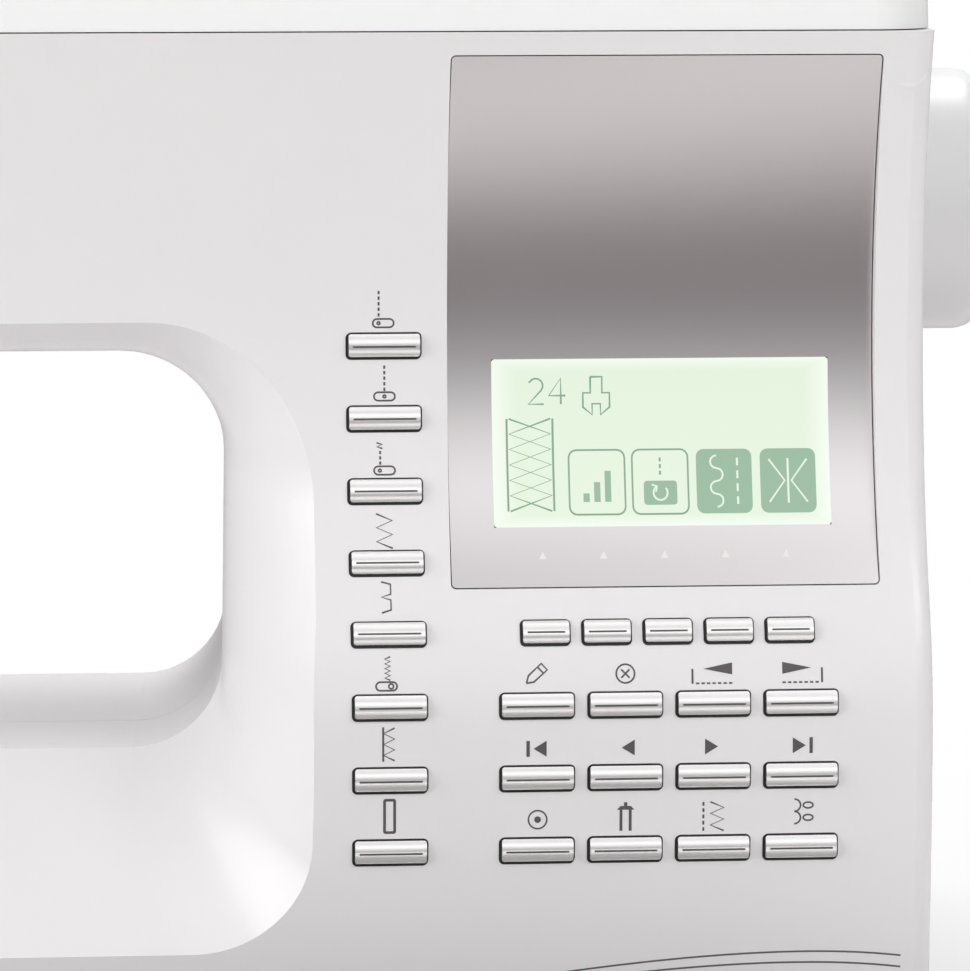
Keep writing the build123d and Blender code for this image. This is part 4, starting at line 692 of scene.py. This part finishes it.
plate_top = surface_of(nodes["needle_plate"])
needle_x = sum(corner.x for corner in map(Vector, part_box("needle"))) / 2
above = 0.2                             # Z of a place above the plate
guide_y = 4 * MM
number_y = -9.5 * MM
guides = []
for seam_mm in (15, 20, 25, 30):
    x = needle_x + seam_mm * MM
    guides.append((flat_bar(0.4 * MM, 22 * MM, 0.15 * MM),
                   laid_on(plate_top, (x, guide_y, above), (0, 0, -1), (0, 1, 0))))
    guides.append((figure(str(seam_mm), 3.2 * MM),
                   laid_on(plate_top, (x, number_y, above), (0, 0, -1), (0, 1, 0))))
guide_filling = moulded("guide_line_filling_black", "232324", "272728", 0.5, 0.0008)
new_piece("needle_plate_guides", joined(guides), guide_filling, "root")

# ------------------------------------------------------------------ marks of the power switch
# The rocker is black polyamide, pad-printed in white with a bar for on and a ring for off,
# each near its own end. The ink is dull and lies a few hundredths of a millimetre high.

switch_face = surface_of(nodes["power_switch"])
switch_low, switch_high = (Vector(corner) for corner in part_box("power_switch"))
switch_y = (switch_low.y + switch_high.y) / 2
outside = 0.3                           # X of a place beyond the side of the pillar
mark_inset = 4.5 * MM
ring = bmesh.new()
bmesh.ops.create_circle(ring, cap_ends=True, segments=32, radius=1.9 * MM)
hole = ring.faces[:]
bmesh.ops.inset_region(
    ring, faces=hole, thickness=0.5 * MM, use_even_offset=True, use_boundary=True
)
bmesh.ops.delete(ring, geom=hole, context="FACES")
switch_marks = [
    (ring, laid_on(switch_face, (outside, switch_y, switch_low.z + mark_inset), (-1, 0, 0), (0, 0, 1))),
    (flat_bar(0.5 * MM, 3.8 * MM, 0.1 * MM),
     laid_on(switch_face, (outside, switch_y, switch_high.z - mark_inset), (-1, 0, 0), (0, 0, 1))),
]
switch_white = moulded("switch_print_white", "E8E8E8", "E4E4E4", 0.5, 0.0008)
new_piece("power_switch_marks", joined(switch_marks), switch_white, "power_switch")

# ------------------------------------------------------------------ work lamp
# A frosted lens of clear plastic clicks into the underside of the head, over the lamp that
# lights the needle. Its face is ribbed, so that the light spreads.

under_head = surface_of(nodes["front_cover"])
lens_depth = 1.2 * MM
lens_x = needle_x + 19 * MM
lens_y = -32 * MM
below = 0.1                             # Z of a place between the bed and the head
lens = flat_bar(24 * MM, 9 * MM, 2.5 * MM)
lens_place = laid_on(under_head, (lens_x, lens_y, below), (0, 0, 1), (0, 1, 0))
thicken(lens, lens.faces[:], (0, 0, lens_depth))
rim = [edge for edge in lens.edges if all(v.co.z > 1.0 * MM for v in edge.verts)]
bmesh.ops.bevel(lens, geom=rim, affect="EDGES", offset=0.4 * MM, segments=3, profile=0.5, material=-1)
ribs = [(flat_bar(0.5 * MM, 6.5 * MM, 0.2 * MM), Matrix.Translation((x * MM, 0, lens_depth)))
        for x in range(-10, 11, 2)]
add_shape(lens, joined(ribs, 0.25))
lens.transform(lens_place)
lens_frosted = moulded("lamp_lens_frosted_acrylic", "F4F6F6", "F0F3F3", 0.3, 0.001)
new_piece("work_lamp_lens", lens, lens_frosted, "root")

# ------------------------------------------------------------------ studio
# A white table and a bright, even room. The room is darker at eye height in front, as a
# studio is beyond its lamps, which gives the silver parts their dark band.

camera_azimuth = math.radians(-5)
camera_elevation = math.radians(6.5)
camera_target = Vector((0.079, -0.075, 0.139))
camera_distance = 1.5
back = Vector((
    math.sin(camera_azimuth) * math.cos(camera_elevation),
    -math.cos(camera_azimuth) * math.cos(camera_elevation),
    math.sin(camera_elevation),
))
camera = bpy.data.objects.new("camera", bpy.data.cameras.new("camera"))
bpy.context.scene.collection.objects.link(camera)
camera.location = camera_target + back * camera_distance
camera.rotation_mode = "QUATERNION"
camera.rotation_quaternion = (-back).to_track_quat("-Z", "Y")
camera.data.sensor_width = 36
camera.data.lens = 233.8
bpy.context.scene.camera = camera

floor_mesh = bpy.data.meshes.new("floor")
shape = bmesh.new()
bmesh.ops.create_circle(shape, cap_ends=True, segments=64, radius=6.0)
shape.to_mesh(floor_mesh)
shape.free()
floor = bpy.data.objects.new("floor", floor_mesh)
bpy.context.scene.collection.objects.link(floor)

# A white table, painted darker grey round the machine as painted shadow. Past its edge polished
# parts mirror the dim room, and the eye sees the floor run out into white.
floor_paint = new_finish("white_table")
place = add_node(floor_paint, "ShaderNodeTexCoord").outputs["Object"]
reach = add_node(floor_paint, "ShaderNodeVectorMath", {0: place, 1: (0.05, 0, 0)}, operation="DISTANCE")
far = add_node(
    floor_paint, "ShaderNodeMapRange",
    {"Value": reach.outputs["Value"], "From Min": 0.22, "From Max": 0.62},
    interpolation_type="SMOOTHSTEP",
)
painted_shadow_fade = add_node(
    floor_paint, "ShaderNodeMapRange",
    {"Value": reach.outputs["Value"], "From Min": 0.16, "From Max": 0.24},
)
# Grey near the machine, fading to white by 0.24 m: painted shadow on the table.
painted_shadow_tone = add_node(
    floor_paint, "ShaderNodeMix",
    {0: painted_shadow_fade.outputs["Result"], 6: srgb("9E9C9C"), 7: srgb("F0EEEE")}, data_type="RGBA",
)
table_top = add_node(floor_paint, "ShaderNodeBsdfDiffuse", {"Color": painted_shadow_tone.outputs[2]})
dim_room = add_node(floor_paint, "ShaderNodeEmission", {"Color": srgb("847F80"), "Strength": 1.0})
path = add_node(floor_paint, "ShaderNodeLightPath")
mirrored_far = add_node(
    floor_paint, "ShaderNodeMath",
    {0: far.outputs["Result"], 1: path.outputs["Is Glossy Ray"]}, operation="MULTIPLY",
)
table = add_node(
    floor_paint, "ShaderNodeMixShader",
    {0: mirrored_far.outputs[0], 1: table_top.outputs[0], 2: dim_room.outputs[0]},
)
whiter = add_node(
    floor_paint, "ShaderNodeMapRange",
    {"Value": reach.outputs["Value"], "From Min": 0.25, "From Max": 0.6, "To Min": 0.75, "To Max": 1.0},
)
seen_white = add_node(
    floor_paint, "ShaderNodeMath",
    {0: path.outputs["Is Camera Ray"], 1: whiter.outputs["Result"]}, operation="MULTIPLY",
)
white_room = add_node(floor_paint, "ShaderNodeEmission", {"Color": (1, 1, 1, 1), "Strength": 1.0})
shader = add_node(
    floor_paint, "ShaderNodeMixShader",
    {0: seen_white.outputs[0], 1: table.outputs[0], 2: white_room.outputs[0]},
)
close_finish(floor_paint, shader)
floor_mesh.materials.append(floor_paint)

bpy.context.scene.view_settings.view_transform = "Standard"
world = bpy.data.worlds.new("studio")
bpy.context.scene.world = world
world.use_nodes = True
world.node_tree.nodes.clear()
place = add_node(world, "ShaderNodeTexCoord").outputs["Generated"]
height = add_node(world, "ShaderNodeSeparateXYZ", {0: place}).outputs["Z"]
rise = add_node(world, "ShaderNodeMapRange", {"Value": height, "From Min": -1.0, "From Max": 1.0})
room = add_node(world, "ShaderNodeValToRGB", {0: rise.outputs["Result"]})
room.color_ramp.interpolation = "B_SPLINE"
# Heights run from 0 straight down over 0.5 at eye height to 1 straight up, each with its level.
bands = [(0.0, 0.25), (0.48, 0.25), (0.56, 0.36), (0.63, 0.72), (0.72, 1.0), (0.79, 0.8), (0.86, 0.4),
         (0.93, 0.6), (1.0, 0.9)]
while len(room.color_ramp.elements) < len(bands):
    room.color_ramp.elements.new(0.5)
for stop, (position, level) in zip(room.color_ramp.elements, bands):
    stop.position = position
    stop.color = (level, level, level, 1)
path = add_node(world, "ShaderNodeLightPath")
seen = add_node(
    world, "ShaderNodeMath",
    {0: path.outputs["Is Camera Ray"], 1: path.outputs["Is Transmission Ray"]}, operation="MAXIMUM",
)
light = add_node(world, "ShaderNodeBackground", {"Color": room.outputs["Color"], "Strength": 1.3})
even = add_node(world, "ShaderNodeBackground", {"Color": (0.31, 0.31, 0.31, 1), "Strength": 1.0})
lit = add_node(
    world, "ShaderNodeMixShader",
    {0: path.outputs["Is Diffuse Ray"], 1: light.outputs[0], 2: even.outputs[0]},
)
white = add_node(world, "ShaderNodeBackground", {"Color": (1, 1, 1, 1), "Strength": 1.0})
shown = add_node(
    world, "ShaderNodeMixShader", {0: seen.outputs[0], 1: lit.outputs[0], 2: white.outputs[0]}
)
add_node(world, "ShaderNodeOutputWorld", {"Surface": shown.outputs[0]})


def softbox(name, place, aim, size, power):
    """A square soft lamp at a place, turned towards a point."""
    lamp = bpy.data.objects.new(name, bpy.data.lights.new(name, "AREA"))
    bpy.context.scene.collection.objects.link(lamp)
    lamp.data.size = size
    lamp.data.energy = power
    lamp.location = place
    lamp.rotation_mode = "QUATERNION"
    lamp.rotation_quaternion = (Vector(place) - Vector(aim)).to_track_quat("Z", "Y")
    return lamp


softbox("left_softbox", (-2.1, -0.9, 1.2), (0, 0, 0.15), 2.0, 41)
softbox("right_softbox", (1.4, -1.3, 1.6), (0, 0, 0.15), 1.2, 16.5)
softbox("top_softbox", (0.2, 0.9, 2.0), (0, -0.1, 0), 1.2, 24)
